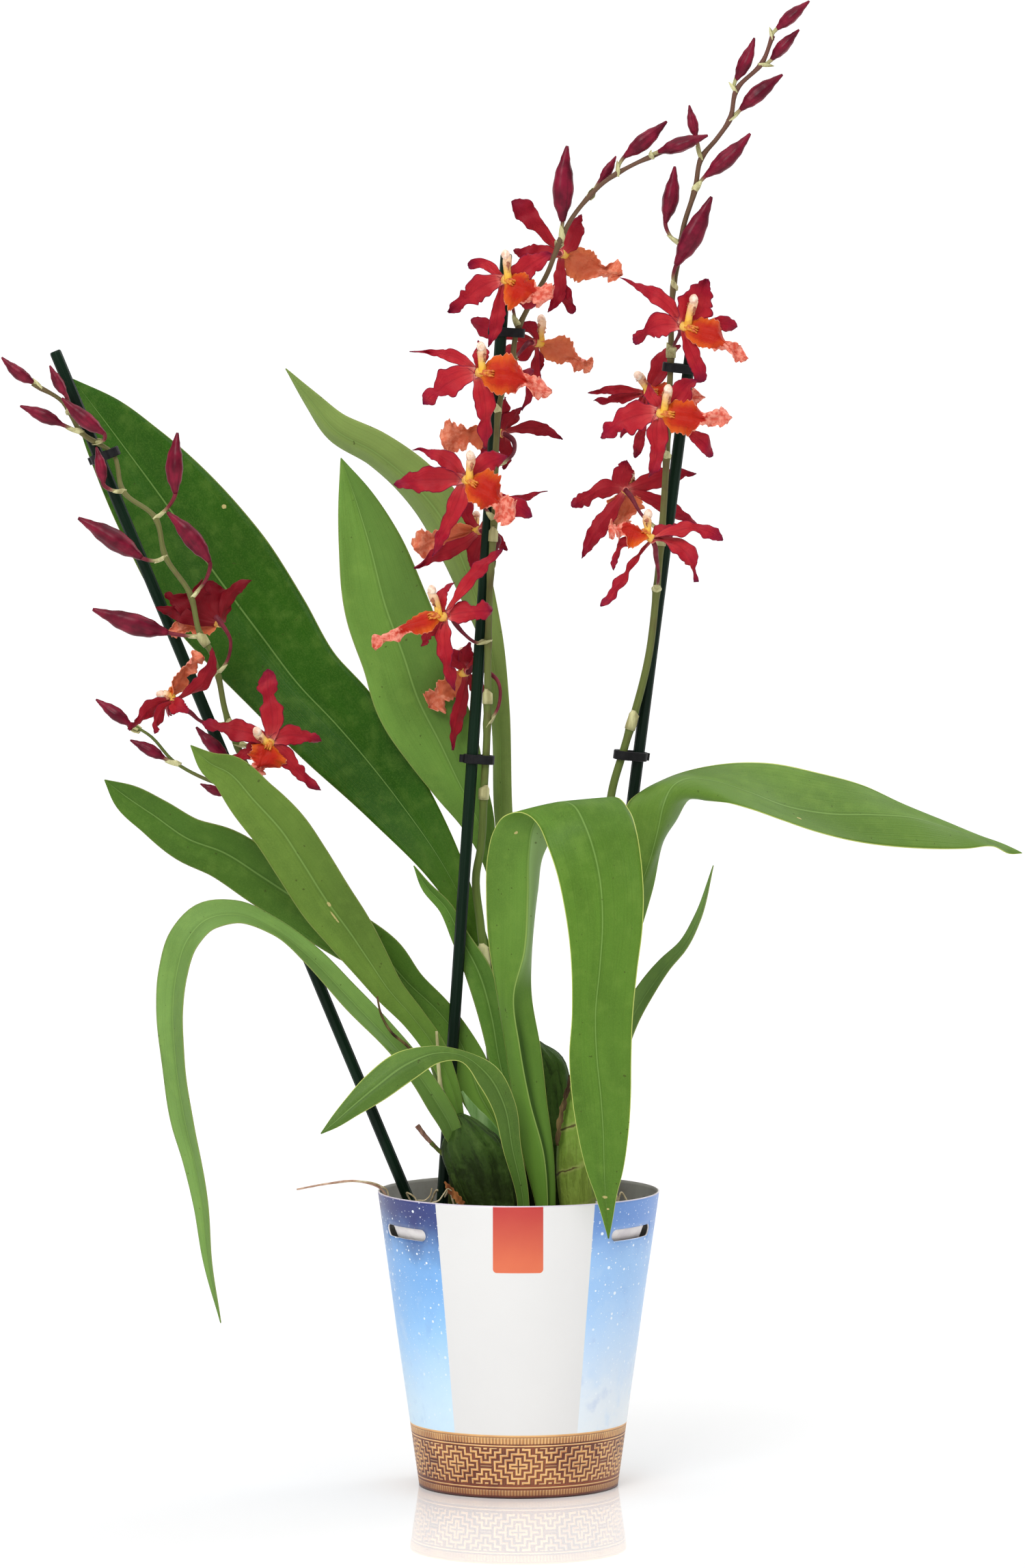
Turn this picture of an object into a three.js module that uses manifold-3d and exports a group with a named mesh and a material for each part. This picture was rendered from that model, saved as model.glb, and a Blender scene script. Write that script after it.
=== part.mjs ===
// A cambria orchid in bloom: three staked flower stems, eleven leaves and their pseudobulbs,
// grown in a plastic culture pot that stands in a printed card sleeve.
import * as THREE from "three";
import { mergeVertices } from "three/addons/utils/BufferGeometryUtils.js";
import Module from "manifold-3d";

const wasm = await Module();
wasm.setup();

// Driving sizes in millimetres. Z is up, the sleeve stands on z = 0, and the front of the plant faces -Y.
const SLEEVE_HEIGHT = 147;
const SLEEVE_TOP_RADIUS = 70;
const SLEEVE_FOOT_RADIUS = 49.5;
const CARD = 1.2;
const SLOT_Z = 130;
const SLOT_HEIGHT = 5.8;
const SLOT_FROM = 42.5;
const SLOT_TO = 72;
const SEAT = 0.4;
const POT_HEIGHT = 136;
const POT_TOP_RADIUS = 59.6;
const POT_FOOT_RADIUS = 44;
const POT_WALL = 1;
const POT_FLANGE = 62.5;
const POT_FLANGE_HEIGHT = 3;
const MEDIUM_TOP = 130;
const STAKE_RADIUS = 2.9;
const STAKE_FLUTES = 8;
const CLIP_HEIGHT = 4.5;
const CLIP_WALL = 1.1;
const BLADE_EDGE = 0.6;
const LEAF_MIDDLE = 1.2;
const TEPAL_MIDDLE = 0.9;
const LIP_MIDDLE = 1;
const BRACT_REACH = 4;
const BRACT_RADIUS = 1.5;

const COLOURS = {
  sleeve: 0x5d93d0,
  pot: 0xd9dcd8,
  medium: 0x4a3524,
  stake: 0x12351f,
  clip: 0x232126,
  stem: 0x7f7d50,
  bulb: 0x4a6a33,
  leaf: 0x4c8a34,
  tepal: 0xa81e2c,
  lip: 0xdc5a24,
};

const ROUGHNESS = { pot: 0.35, clip: 0.4, stake: 0.45, leaf: 0.4, medium: 0.95 };

const group = new THREE.Group();
const point = ([x, y, z]) => new THREE.Vector3(x, y, z);

// Adds a body to the part as a named mesh with its own material.
function place(name, body, kind) {
  const material = new THREE.MeshStandardMaterial({
    color: COLOURS[kind],
    roughness: ROUGHNESS[kind] ?? 0.6,
    metalness: 0,
  });
  const mesh = new THREE.Mesh(geometryOf(body), material);
  mesh.name = name;
  group.add(mesh);
}

// A closed geometry as a solid with its faces outwards.
function solidOf(geometry) {
  const loose = geometry.index ? geometry.toNonIndexed() : geometry;
  const bare = new THREE.BufferGeometry().setAttribute("position", loose.getAttribute("position"));
  const merged = mergeVertices(bare, 1e-3);
  const vertProperties = new Float32Array(merged.attributes.position.array);
  const triVerts = new Uint32Array(merged.index.array);
  const made = new wasm.Manifold(new wasm.Mesh({ numProp: 3, vertProperties, triVerts }));
  if (made.volume() > 0) return made;
  for (let i = 0; i < triVerts.length; i += 3) {
    const second = triVerts[i + 1];
    triVerts[i + 1] = triVerts[i + 2];
    triVerts[i + 2] = second;
  }
  return new wasm.Manifold(new wasm.Mesh({ numProp: 3, vertProperties, triVerts }));
}

// A solid as a three.js geometry.
function geometryOf(body) {
  const { numProp, vertProperties, triVerts } = body.getMesh();
  const count = vertProperties.length / numProp;
  const position = new Float32Array(count * 3);
  for (let i = 0; i < count; i++) {
    position.set(vertProperties.subarray(i * numProp, i * numProp + 3), i * 3);
  }
  const geometry = new THREE.BufferGeometry();
  geometry.setAttribute("position", new THREE.BufferAttribute(position, 3));
  geometry.setIndex(new THREE.BufferAttribute(new Uint32Array(triVerts), 1));
  const flat = geometry.toNonIndexed();
  flat.computeVertexNormals();
  return flat;
}

const joined = (bodies) => bodies.reduce((whole, body) => whole.add(body));

// Skins a row of rings, each a list of the same even number of points, and closes both ends.
// The two long sides of each ring are split along the same diagonals, so a thin blade keeps its thickness.
function loft(rings) {
  const size = rings[0].length;
  const half = size / 2;
  const position = rings.flat().flatMap((p) => [p.x, p.y, p.z]);
  const index = [];
  for (let ring = 0; ring < rings.length - 1; ring++) {
    for (let j = 0; j < size; j++) {
      const a = ring * size + j;
      const b = ring * size + ((j + 1) % size);
      const c = b + size;
      const d = a + size;
      if (j < half) index.push(a, b, c, a, c, d);
      else index.push(a, b, d, b, c, d);
    }
  }
  const last = (rings.length - 1) * size;
  for (let k = 0; k < half - 1; k++) {
    const [a, b, c, d] = [k, k + 1, size - 2 - k, size - 1 - k];
    index.push(a, c, b, a, d, c);
    index.push(last + a, last + b, last + c, last + a, last + c, last + d);
  }
  const geometry = new THREE.BufferGeometry();
  geometry.setAttribute("position", new THREE.Float32BufferAttribute(position, 3));
  geometry.setIndex(index);
  return solidOf(geometry);
}

// The direction of a row of points at one of them.
function heading(points, i) {
  const before = points[Math.max(i - 1, 0)];
  const after = points[Math.min(i + 1, points.length - 1)];
  return after.clone().sub(before).normalize();
}

// A round limb through the points, with one radius for each point, or a pair for an oval.
function limb(rows, radii, sides = 6) {
  const points = rows.map(point);
  let side = new THREE.Vector3(1, 0, 0);
  const rings = points.map((centre, i) => {
    const along = heading(points, i);
    side = side.clone().addScaledVector(along, -side.dot(along)).normalize();
    const other = along.clone().cross(side);
    const [wide, deep] = [radii[i]].flat();
    return Array.from({ length: sides }, (_, k) => {
      const turn = (2 * Math.PI * (k + 0.5)) / sides;
      const out = centre.clone().addScaledVector(side, wide * Math.cos(turn));
      return out.addScaledVector(other, (deep ?? wide) * Math.sin(turn));
    });
  });
  return loft(rings);
}

const taper = (count, from, to) =>
  Array.from({ length: count }, (_, i) => from + ((to - from) * i) / (count - 1));

// One ring of a thin blade: a row of columns on its front and the same row back along its other face.
// The edges are lifted along the normal by fold, and by the two waves at the left and right edge.
function bladeRing({ centre, across, normal, half, middle, columns, fold = 0, waves = [0, 0] }) {
  const front = [];
  const back = [];
  for (let c = 0; c < columns; c++) {
    const s = (2 * c) / (columns - 1) - 1;
    const wave = (s < 0 ? waves[0] : waves[1]) * s * s;
    const at = centre.clone().addScaledVector(across, s * half);
    at.addScaledVector(normal, fold * Math.abs(s) * half + wave);
    const thick = BLADE_EDGE + (middle - BLADE_EDGE) * (1 - Math.abs(s));
    front.push(at.clone().addScaledVector(normal, thick / 2));
    back.unshift(at.clone().addScaledVector(normal, -thick / 2));
  }
  return [...front, ...back];
}

// The sleeve: a tapered card cup with a folded-in floor and four die-cut hand slots.
function sleeve() {
  const profile = [
    [0, 0],
    [SLEEVE_FOOT_RADIUS, 0],
    [SLEEVE_TOP_RADIUS, SLEEVE_HEIGHT],
    [SLEEVE_TOP_RADIUS - CARD, SLEEVE_HEIGHT],
    [SLEEVE_FOOT_RADIUS - CARD, CARD],
    [0, CARD],
  ];
  let body = lathe(profile, 32);
  for (const turn of [0, 180]) {
    for (const side of [-1, 1]) {
      body = body.subtract(slotCutter(turn, side));
    }
  }
  return body;
}

// A wedge that cuts one hand slot, measured in degrees round from the front (turn 0) or the back.
function slotCutter(turn, side) {
  const forward = -90 + turn;
  const ends = [forward + side * SLOT_FROM, forward + side * SLOT_TO].map(THREE.MathUtils.degToRad);
  const shape = new THREE.Shape();
  shape.absarc(0, 0, SLEEVE_TOP_RADIUS + 10, ends[0], ends[1], side < 0);
  shape.absarc(0, 0, POT_FLANGE, ends[1], ends[0], side > 0);
  const geometry = new THREE.ExtrudeGeometry(shape, {
    depth: SLOT_HEIGHT,
    bevelEnabled: false,
    curveSegments: 3,
  });
  geometry.translate(0, 0, SLOT_Z - SLOT_HEIGHT / 2);
  return solidOf(geometry);
}

// A turned body: its profile starts and ends on the axis, which is Z.
function lathe(profile, segments) {
  const geometry = new THREE.LatheGeometry(
    profile.map(([r, z]) => new THREE.Vector2(r, z)),
    segments,
  );
  geometry.rotateX(Math.PI / 2);
  return solidOf(geometry);
}

// The culture pot: a plain tapered cup with a rolled flange, standing on the sleeve's floor.
function culturePot() {
  const foot = CARD + SEAT;
  return lathe(
    [
      [0, foot],
      [POT_FOOT_RADIUS, foot],
      [POT_TOP_RADIUS, POT_HEIGHT - POT_FLANGE_HEIGHT],
      [POT_FLANGE, POT_HEIGHT - POT_FLANGE_HEIGHT],
      [POT_FLANGE, POT_HEIGHT],
      [POT_TOP_RADIUS - POT_WALL, POT_HEIGHT],
      [POT_FOOT_RADIUS - POT_WALL, foot + POT_WALL + 0.4],
      [0, foot + POT_WALL + 0.4],
    ],
    24,
  );
}

// The bark: level in the middle, heaped in a broken ring at the wall, with plain holes for what stands in it.
function growingMedium(buried) {
  const floor = CARD + SEAT + POT_WALL + 0.8;
  const geometry = new THREE.LatheGeometry(
    [
      [0, floor],
      [42.4, floor],
      [57.2, MEDIUM_TOP],
      [55, MEDIUM_TOP + 2],
      [50, MEDIUM_TOP + 2],
      [45.5, MEDIUM_TOP],
      [0, MEDIUM_TOP],
    ].map(([r, z]) => new THREE.Vector2(r, z)),
    24,
  );
  geometry.rotateX(Math.PI / 2);
  const position = geometry.attributes.position;
  for (let i = 0; i < position.count; i++) {
    if (position.getZ(i) < MEDIUM_TOP + 1) continue;
    const turn = Math.atan2(position.getY(i), position.getX(i));
    position.setZ(i, position.getZ(i) + 0.9 * Math.sin(9 * turn) + 0.6 * Math.sin(14 * turn + 1));
  }
  let body = solidOf(geometry);
  for (const { from, to, radius } of buried) {
    body = body.subtract(limb([from, to], [radius, radius], 8));
  }
  return body;
}

// The stakes, each from its buried point to its top.
const stakes = [
  { name: "stake_a", foot: [-21.4, 16.9, 60], top: [-229, 5, 563] },
  { name: "stake_b", foot: [-43.4, 1, 60], top: [-6, 1, 611] },
  { name: "stake_c", foot: [21, 22.5, 60], top: [87, 6, 578] },
];

// A straight stick with a fluted section.
function stake({ foot, top }) {
  const shape = new THREE.Shape();
  for (let i = 0; i < 2 * STAKE_FLUTES; i++) {
    const turn = (Math.PI * i) / STAKE_FLUTES;
    const radius = STAKE_RADIUS - (i % 2 ? 0.45 : 0);
    if (i === 0) shape.moveTo(radius, 0);
    else shape.lineTo(radius * Math.cos(turn), radius * Math.sin(turn));
  }
  const extrudePath = new THREE.LineCurve3(point(foot), point(top));
  return solidOf(new THREE.ExtrudeGeometry(shape, { steps: 1, extrudePath, bevelEnabled: false }));
}

// A point of a stake at height z.
function onStake({ foot, top }, z) {
  return point(foot).lerp(point(top), (z - foot[2]) / (top[2] - foot[2]));
}

// A loop clip round a stake and the stem beside it.
function clip(holder, at, stemRadius) {
  const up = point(holder.top).sub(point(holder.foot)).normalize();
  const stem = point(at);
  const centre = onStake(holder, at[2]);
  const slide = stem.clone().sub(centre).dot(up);
  centre.addScaledVector(up, slide);
  const out = stem.clone().sub(centre);
  const reach = out.length();
  out.normalize();
  const width = STAKE_RADIUS + 0.5;
  const far = reach + stemRadius + 1 - width;
  const outer = new THREE.Shape();
  outer.absarc(0, 0, width + CLIP_WALL, Math.PI / 2, (3 * Math.PI) / 2);
  outer.absarc(far, 0, width + CLIP_WALL, -Math.PI / 2, Math.PI / 2);
  const hole = new THREE.Path();
  hole.absarc(0, 0, width, Math.PI / 2, (3 * Math.PI) / 2);
  hole.absarc(far, 0, width, -Math.PI / 2, Math.PI / 2);
  outer.holes.push(hole);
  const geometry = new THREE.ExtrudeGeometry(outer, {
    depth: CLIP_HEIGHT,
    bevelEnabled: false,
    curveSegments: 3,
  });
  geometry.translate(0, 0, -CLIP_HEIGHT / 2);
  const frame = new THREE.Matrix4().makeBasis(out, up.clone().cross(out), up).setPosition(centre);
  return solidOf(geometry.applyMatrix4(frame));
}

// The leaves. Each station is x, y, z, half the width, and the tilt of the blade out of the front view in
// degrees. The last value, where there is one, is the fold at that station. A fold above zero lifts the edges
// to the front.
const leaves = [
  {
    name: "leaf_1_upper_left",
    fold: 0.12,
    stations: [
      [-223.9, 73, 548.3, 0.8, 8], [-210.7, 71, 531.1, 12, 8], [-195.4, 68, 510.9, 20, 8],
      [-175.9, 63, 484.7, 27.4, 8], [-152.4, 57, 451.6, 32, 8], [-129, 50, 420.6, 29.3, 8],
      [-109.6, 42, 395.8, 25, 8], [-91.4, 36, 377, 24, 6], [-60.1, 28, 339.4, 17, 4],
      [-36, 20.5, 304.7, 9.5, 0], [-23, 17, 278.9, 5, 0], [-16, 16, 262, 3.5, 0], [-5, 15.5, 238, 3, 0],
      [5, 15.5, 224, 2.6, 0],
    ],
  },
  {
    name: "leaf_2_upright",
    fold: 0.14,
    stations: [
      [-88.4, 34, 509.6, 0.8, -8], [-81.3, 32, 489.6, 9, -8], [-74.2, 30, 466.6, 16, -8],
      [-66.1, 27, 435.7, 21, -8], [-57, 24.5, 410.8, 21.5, -8], [-50, 23, 389.9, 22, -8],
      [-39, 22, 368, 19, -6], [-30, 22, 349, 14, -4], [-21, 21.5, 331, 9, 0], [-15, 21, 313, 4.5, 0],
      [-8, 21, 286, 3.5, 0], [-1, 21, 251, 3, 0], [8, 20.5, 224, 2.6, 0],
    ],
  },
  {
    name: "leaf_3_back",
    fold: -0.3,
    stations: [
      [-117.2, 81, 553.5, 0.8, 35], [-104, 77, 536.4, 5.5, 35], [-92.8, 73, 523.3, 9, 35],
      [-71.5, 67, 511.3, 11, 35], [-53.3, 62, 496.3, 13, 35], [-40.2, 57, 481.3, 14, 32],
      [-30.1, 52, 462.4, 12.5, 30], [-23.1, 47, 444.4, 10.5, 30], [-15, 42, 420.5, 7, 30],
      [-10, 36, 383.7, 5.5, 30], [-8, 30, 330.9, 5, 25], [-4, 28, 295, 4, 10], [3, 26.5, 254, 3.2, 0],
      [10, 25.5, 224, 2.6, 0],
    ],
  },
  {
    name: "leaf_4_lower_left",
    fold: 0.14,
    stations: [
      [-204.4, -10, 351.7, 0.8, 12], [-195.5, -9, 344.6, 6.5, 12], [-179.6, -8, 333.6, 10, 12],
      [-163.7, -7, 322.5, 11.8, 12], [-145.8, -5, 315.4, 13.2, 12], [-126.9, -3, 303.2, 13.8, 12],
      [-106, -1, 289.1, 13.8, 12], [-84, 1, 274, 13, 10], [-67, 3, 263, 11, 8], [-54, 5, 249, 8, 5],
      [-40, 7, 236, 6, 0], [-27, 8.5, 221, 4, 0], [-14, 9.5, 208, 3, 0], [-4, 10.5, 198, 2.6, 0],
      [5.4, 12.6, 190.5, 2.4, 0],
    ],
  },
  {
    name: "leaf_5_left_front",
    fold: 0.14,
    stations: [
      [-160.1, -54, 371.3, 0.8, 8], [-150.3, -51, 362.1, 6.5, 8], [-142.4, -48, 358, 9.3, 8],
      [-129.6, -43, 343.8, 12.3, 8], [-115.7, -38, 327.7, 13.8, 8], [-106.8, -33, 313.5, 14, 8],
      [-93.9, -27, 292.4, 13.7, 8], [-83.9, -22, 278.2, 12.3, 5], [-74, -18, 263.1, 9.9, 0],
      [-64, -15, 248, 7.5, 0], [-52, -13, 234, 6, 0], [-42, -12, 220, 5.5, 0], [-35, -11.5, 207, 5, 0],
      [-29, -12, 194, 4, 0], [-26.5, -12.5, 184.9, 3.4, 0],
    ],
  },
  {
    name: "leaf_6_drooping",
    fold: 0.2,
    stations: [
      [-32, -21.5, 171, 3, 10], [-37, -21.8, 183, 4, 20], [-54, -28, 213, 7, 45],
      [-84, -34, 246.2, 8, 50], [-102.8, -40, 266.5, 8.2, 58], [-120.7, -46, 280.9, 8.6, 68],
      [-138.5, -51, 288.3, 9.6, 60], [-153.2, -56, 285.8, 10.8, 50], [-161.9, -60, 276.2, 11.5, 48],
      [-166.7, -63, 260.7, 11.3, 50], [-168.5, -66, 243.2, 10.5, 50], [-167.4, -68, 220.7, 9.3, 50],
      [-162.3, -70, 187.3, 9, 50], [-158.3, -70, 169.6, 7, 48], [-154.4, -69, 147.7, 5.4, 45],
      [-151.5, -68, 120, 3.2, 45], [-145.6, -66, 89.2, 0.8, 45],
    ],
  },
  {
    name: "leaf_7_small_front",
    fold: -0.2,
    stations: [
      [3, -27, 130.6, 2.6, 0], [2, -30, 147.1, 3, 0], [-3, -36, 171.2, 4.5, 10], [-7, -43, 193.5, 6, 15],
      [-15, -50, 208.9, 6.5, 30], [-27.9, -56, 218.4, 6.5, 52], [-39.8, -61, 219.7, 7.5, 45],
      [-54.7, -66, 216.1, 8, 20], [-69.6, -70, 205.5, 7.5, 12], [-81.4, -73, 195.9, 5, 12],
      [-90.4, -75, 188, 2.6, 12], [-96.3, -76, 183.2, 0.8, 12],
    ],
  },
  {
    name: "leaf_8_front",
    fold: 0.16,
    stations: [
      [14, -21, 130.6, 3.4, 0, -0.5], [14, -22, 142, 3.8, 0, -0.5], [13, -24, 167, 4.6, 0, -0.5],
      [9, -28, 198, 6.3, 0, -0.5], [3, -33, 226.1, 6.8, 0, -0.5], [-0, -38, 245.2, 7.6, 0, -0.5],
      [-2, -44, 267.3, 8.8, 0, -0.45], [-2, -51, 287.5, 11, 0, -0.4], [-2, -58, 304.6, 12.4, 0, -0.35],
      [-0, -65, 321.8, 13, 0, -0.2], [9, -72, 333, 13, 0, -0.1], [20.9, -79, 336.2, 15, 0, 0],
      [32.8, -84, 328.4, 20, -4, 0.08], [39.8, -88, 312.6, 21.5, -8, 0.14],
      [40.7, -90, 288.8, 19.8, -8, 0.18], [41.7, -89, 260.9, 16.7, -8, 0.2],
      [40.8, -86, 228.9, 15.5, -6, 0.2], [39.3, -83, 206.8, 14.4, -4, 0.2],
      [39.8, -80, 189.7, 13, 0, 0.2], [41.9, -75, 164.3, 8.2, 0, 0.2], [42.9, -71, 147.2, 4.4, 0, 0.2],
      [43.9, -67, 130.8, 0.8, 0, 0.2],
    ],
  },
  {
    name: "leaf_9_right",
    fold: 0.14,
    stations: [
      [29, -8, 200.6, 3, 0, -0.4], [35, -8, 217, 4, 0, -0.4], [43, -9, 244, 5, 0, -0.4],
      [49, -11, 271, 6, 0, -0.4], [56, -13, 295, 8, 0, -0.3], [63, -15, 319, 8.6, 0, -0.2],
      [70, -16, 337, 9, 0, -0.1], [82, -16, 348, 9.2, -20, 0], [98.1, -11, 349.8, 9.2, -28],
      [115.3, -2, 348.4, 12.6, -22], [134.7, 9, 343.8, 14.6, -18], [158.2, 22, 337, 15, -15],
      [179.9, 34, 329.2, 13, -15], [201.6, 46, 322.4, 8.6, -15], [222.4, 56, 316.7, 4.2, -15],
      [238.1, 63, 313.1, 2, -15], [254.8, 70, 309.6, 0.8, -15],
    ],
  },
  {
    name: "leaf_10_right_narrow",
    fold: 0.2,
    stations: [
      [95.4, -42, 311.7, 0.8, 66], [88.6, -36, 285.4, 4, 68], [81.7, -32, 271.2, 5.4, 66],
      [72.8, -29, 260.9, 7, 64], [64.9, -26, 249.7, 8, 60], [55.9, -23, 234.5, 8, 56],
      [48, -20, 211.2, 7, 50], [43, -17, 190, 4.4, 30], [40, -15.5, 177, 3, 10],
      [36.5, -12.7, 165, 2.4, 0],
    ],
  },
  {
    name: "leaf_11_sheath",
    fold: 0.2,
    stations: [
      [-52, 7, 308, 0.8, 15], [-46, 7, 298, 2.6, 15], [-36, 7, 287, 3.6, 15], [-29, 6.5, 273, 4.6, 12],
      [-21, 6.5, 254, 6, 5], [-15, 6.5, 232, 6, 0], [-10, 6.5, 213, 5, 0], [-5, 6, 191, 4.4, 0],
      [-1, 5.5, 168, 3.4, 0], [1, 5, 130.6, 2.6, 0],
    ],
  },
];

// A leaf blade through its stations.
function leaf({ stations, fold }) {
  const points = stations.map(point);
  const rings = stations.map(([, , , half, tilt, own], i) => {
    const along = heading(points, i);
    const flat = along.clone().cross(new THREE.Vector3(0, 1, 0)).normalize();
    const across = flat.applyAxisAngle(along, THREE.MathUtils.degToRad(tilt));
    const normal = along.clone().cross(across);
    const share = own ?? fold;
    const centre = points[i];
    return bladeRing({ centre, across, normal, half, middle: LEAF_MIDDLE, columns: 3, fold: share });
  });
  return loft(rings);
}

// The pseudobulbs with the rhizome that joins them and one loose root over the rim.
function pseudobulbs() {
  const left = limb(
    [
      [-13, -13, 130.4], [-13, -13, 141], [-16, -13, 153], [-19, -13, 164],
      [-23, -13, 175], [-25, -13, 181], [-26, -13, 184],
    ],
    [[11, 7], [13, 8.5], [15.5, 9.5], [16.2, 10], [14, 9], [9, 6.5], [4, 3]],
    8,
  );
  const right = limb(
    [[29, -8, 130.4], [29, -8, 142], [28, -8, 155], [28, -8, 172], [27.5, -8, 188], [28, -8, 199.6]],
    [[7.5, 6.5], [9, 7.5], [9.4, 8], [9, 7], [7, 5], [4, 3]],
    8,
  );
  const back = limb(
    [
      [13, 20, 130.4], [13, 20, 142], [14, 20, 159], [15, 20, 186],
      [13, 20, 207], [9, 20.5, 219], [8, 20.5, 223.2],
    ],
    [[9, 7], [11, 8.5], [13.5, 10], [12.5, 9], [10, 8], [6.5, 7], [4.6, 6.6]],
    8,
  );
  const rhizome = limb(
    [[-14, -12, 134], [8, -10.5, 133.8], [28, -8, 134], [22, 8, 133.8], [13, 18, 134]],
    [4, 3.3, 3.6, 3.3, 3.6],
  );
  const root = limb(
    [
      [-20, -12, 137], [-36, -8, 139], [-52, -6, 145], [-65, -6, 150.6],
      [-75, -6, 151.5], [-92, -6, 150.5], [-110, -6, 148],
    ],
    [2, 1.7, 1.5, 1.4, 1.3, 1.2, 0.8],
  );
  return joined([left, right, back, rhizome, root]);
}

// A bud on its pedicel in one piece: the sheathing bract at the foot, the thin pedicel, then the bud.
function bud(tip, base, foot) {
  const axis = point(tip).sub(point(base));
  const size = axis.length();
  const bend = point(base).addScaledVector(axis, -0.3).lerp(point(foot), 0.35).toArray();
  const swell = [[0.36, 0.155], [1, 0.03]];
  const rows = [foot, bractAt(foot, bend), bend, base];
  for (const [share] of swell) rows.push(point(base).addScaledVector(axis, share).toArray());
  return limb(rows, [0.7, BRACT_RADIUS, 0.8, 0.9, ...swell.map(([, width]) => width * size + 0.35)]);
}

// The middle of the small swollen bract where a pedicel leaves the stem.
function bractAt(foot, towards) {
  const reach = point(towards).sub(point(foot));
  const length = Math.min(BRACT_REACH, 0.5 * reach.length());
  return point(foot).addScaledVector(reach.normalize(), length).toArray();
}

// The flower stems: their line from the buried foot to the end, the radius at both, and their buds, each as
// tip, base and foot.
const stems = [
  {
    name: "flower_stem_a",
    radii: [2.2, 1],
    line: [
      [-33, 12, 119], [-33, 12, 139], [-34, 12, 167], [-38, 9, 194], [-45, 4, 217], [-57, -1, 240],
      [-72, -5, 262], [-88, -7, 286], [-104, -8, 311], [-121, -8, 337], [-138, -7, 366], [-145, -10, 387],
      [-148, -12, 403], [-152, -12, 416], [-156, -12, 422], [-162, -12, 444], [-174, -10, 462],
      [-179, -8, 481], [-195, -4, 494], [-200, 0, 512], [-216, 1, 523], [-225, 1, 538], [-240, 0, 547],
    ],
    branch: [
      [-121, -8, 337], [-140, -8, 347], [-155, -6, 352], [-171, -4, 361], [-182, -3, 373], [-194, -2, 380],
    ],
    buds: [
      [[-255, 0, 560], [-241, 0, 549], [-236, 0, 545]],
      [[-246, 0, 536], [-228, 0, 528], [-216, 1, 523]],
      [[-231, -5, 556], [-224, -5, 543], [-222, 0, 533]],
      [[-225, -7, 540], [-207, -8, 525], [-209, 0.6, 518]],
      [[-208, -9, 516], [-205, -9, 500], [-195, -4, 494]],
      [[-168, -8, 523], [-169, -8, 497], [-179, -8, 481]],
      [[-217, -10, 481], [-190, -10, 464], [-174, -10, 462]],
      [[-173, -14, 484], [-155, -14, 463], [-161, -12, 442]],
      [[-210, -10, 436], [-178, -10, 426], [-156, -12, 423]],
      [[-209, 0, 391], [-194, -2, 380], [-188, -3, 376]],
      [[-192, -3, 371], [-177, -4, 363], [-168, -4, 359]],
      [[-159, -12, 378], [-145, -10, 364], [-139, -8, 347]],
      [[-157, -14, 350], [-146, -12, 345], [-136, -8, 345]],
    ],
  },
  {
    name: "flower_stem_b",
    radii: [2.5, 1],
    line: [
      [-6, 14, 119], [-6, 14, 139], [-11, 14, 187], [-15, 13, 228], [-17, 12, 262], [-19, 11, 279],
      [-21, 9, 304], [-19, 8, 315], [-17, 3, 348], [-16, 1, 365], [-15, -2, 420], [-14, -4, 450],
      [-12, -4, 480], [-11, -5, 520], [-10, -5, 533], [-8, -4, 543], [-4, -2, 553], [-1, 0, 572],
      [5, -1, 585], [14, -1, 601], [20, 1, 616], [26, 0, 628], [32, -1, 636], [42, -2, 646],
      [57, -2, 655], [71, -2, 661],
    ],
    buds: [
      [[24, 0, 664], [22, 0, 632], [21, 1, 618]],
      [[48, 3, 659], [41, 2, 648], [35, -1, 639]],
      [[73, -2, 676], [55, -2, 661], [49, -2, 650]],
      [[93, -9, 669], [72, -6, 662], [65, -2, 659]],
    ],
  },
  {
    name: "flower_stem_c",
    radii: [2.6, 1],
    line: [
      [29, 8, 119], [29, 8, 140], [31, 9, 177], [34, 9, 212], [38, 9, 246], [40, 9, 280], [43, 9, 314],
      [47, 9, 348], [52, 8, 365], [65, 3, 416], [68, 1, 443], [71, 1, 477], [73, 1, 509], [75, 2, 555],
      [77, 0, 599], [79, 0, 609], [81, 0, 623], [87, -1, 643], [90, -1, 658], [98, -1, 668],
      [104, -1, 677], [107, -1, 691], [120, -1, 705], [125, -1, 718],
    ],
    buds: [
      [[95, -4, 639], [80, -4, 610], [77, 0, 594]],
      [[77, 3, 654], [73, 3, 630], [79, 0, 616]],
      [[114, -3, 670], [95, -3, 652], [87, -1, 642]],
      [[84, -1, 684], [87, -1, 670], [90, -1, 658]],
      [[130, 1, 699], [112, 0, 684], [104, -1, 677]],
      [[116, -1, 717], [108, -1, 699], [107, -1, 691]],
      [[138, -2, 721], [126, -1, 708], [119, -1, 704]],
      [[143, -2, 735], [129, -1, 723], [125, -1, 717]],
    ],
  },
];

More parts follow.
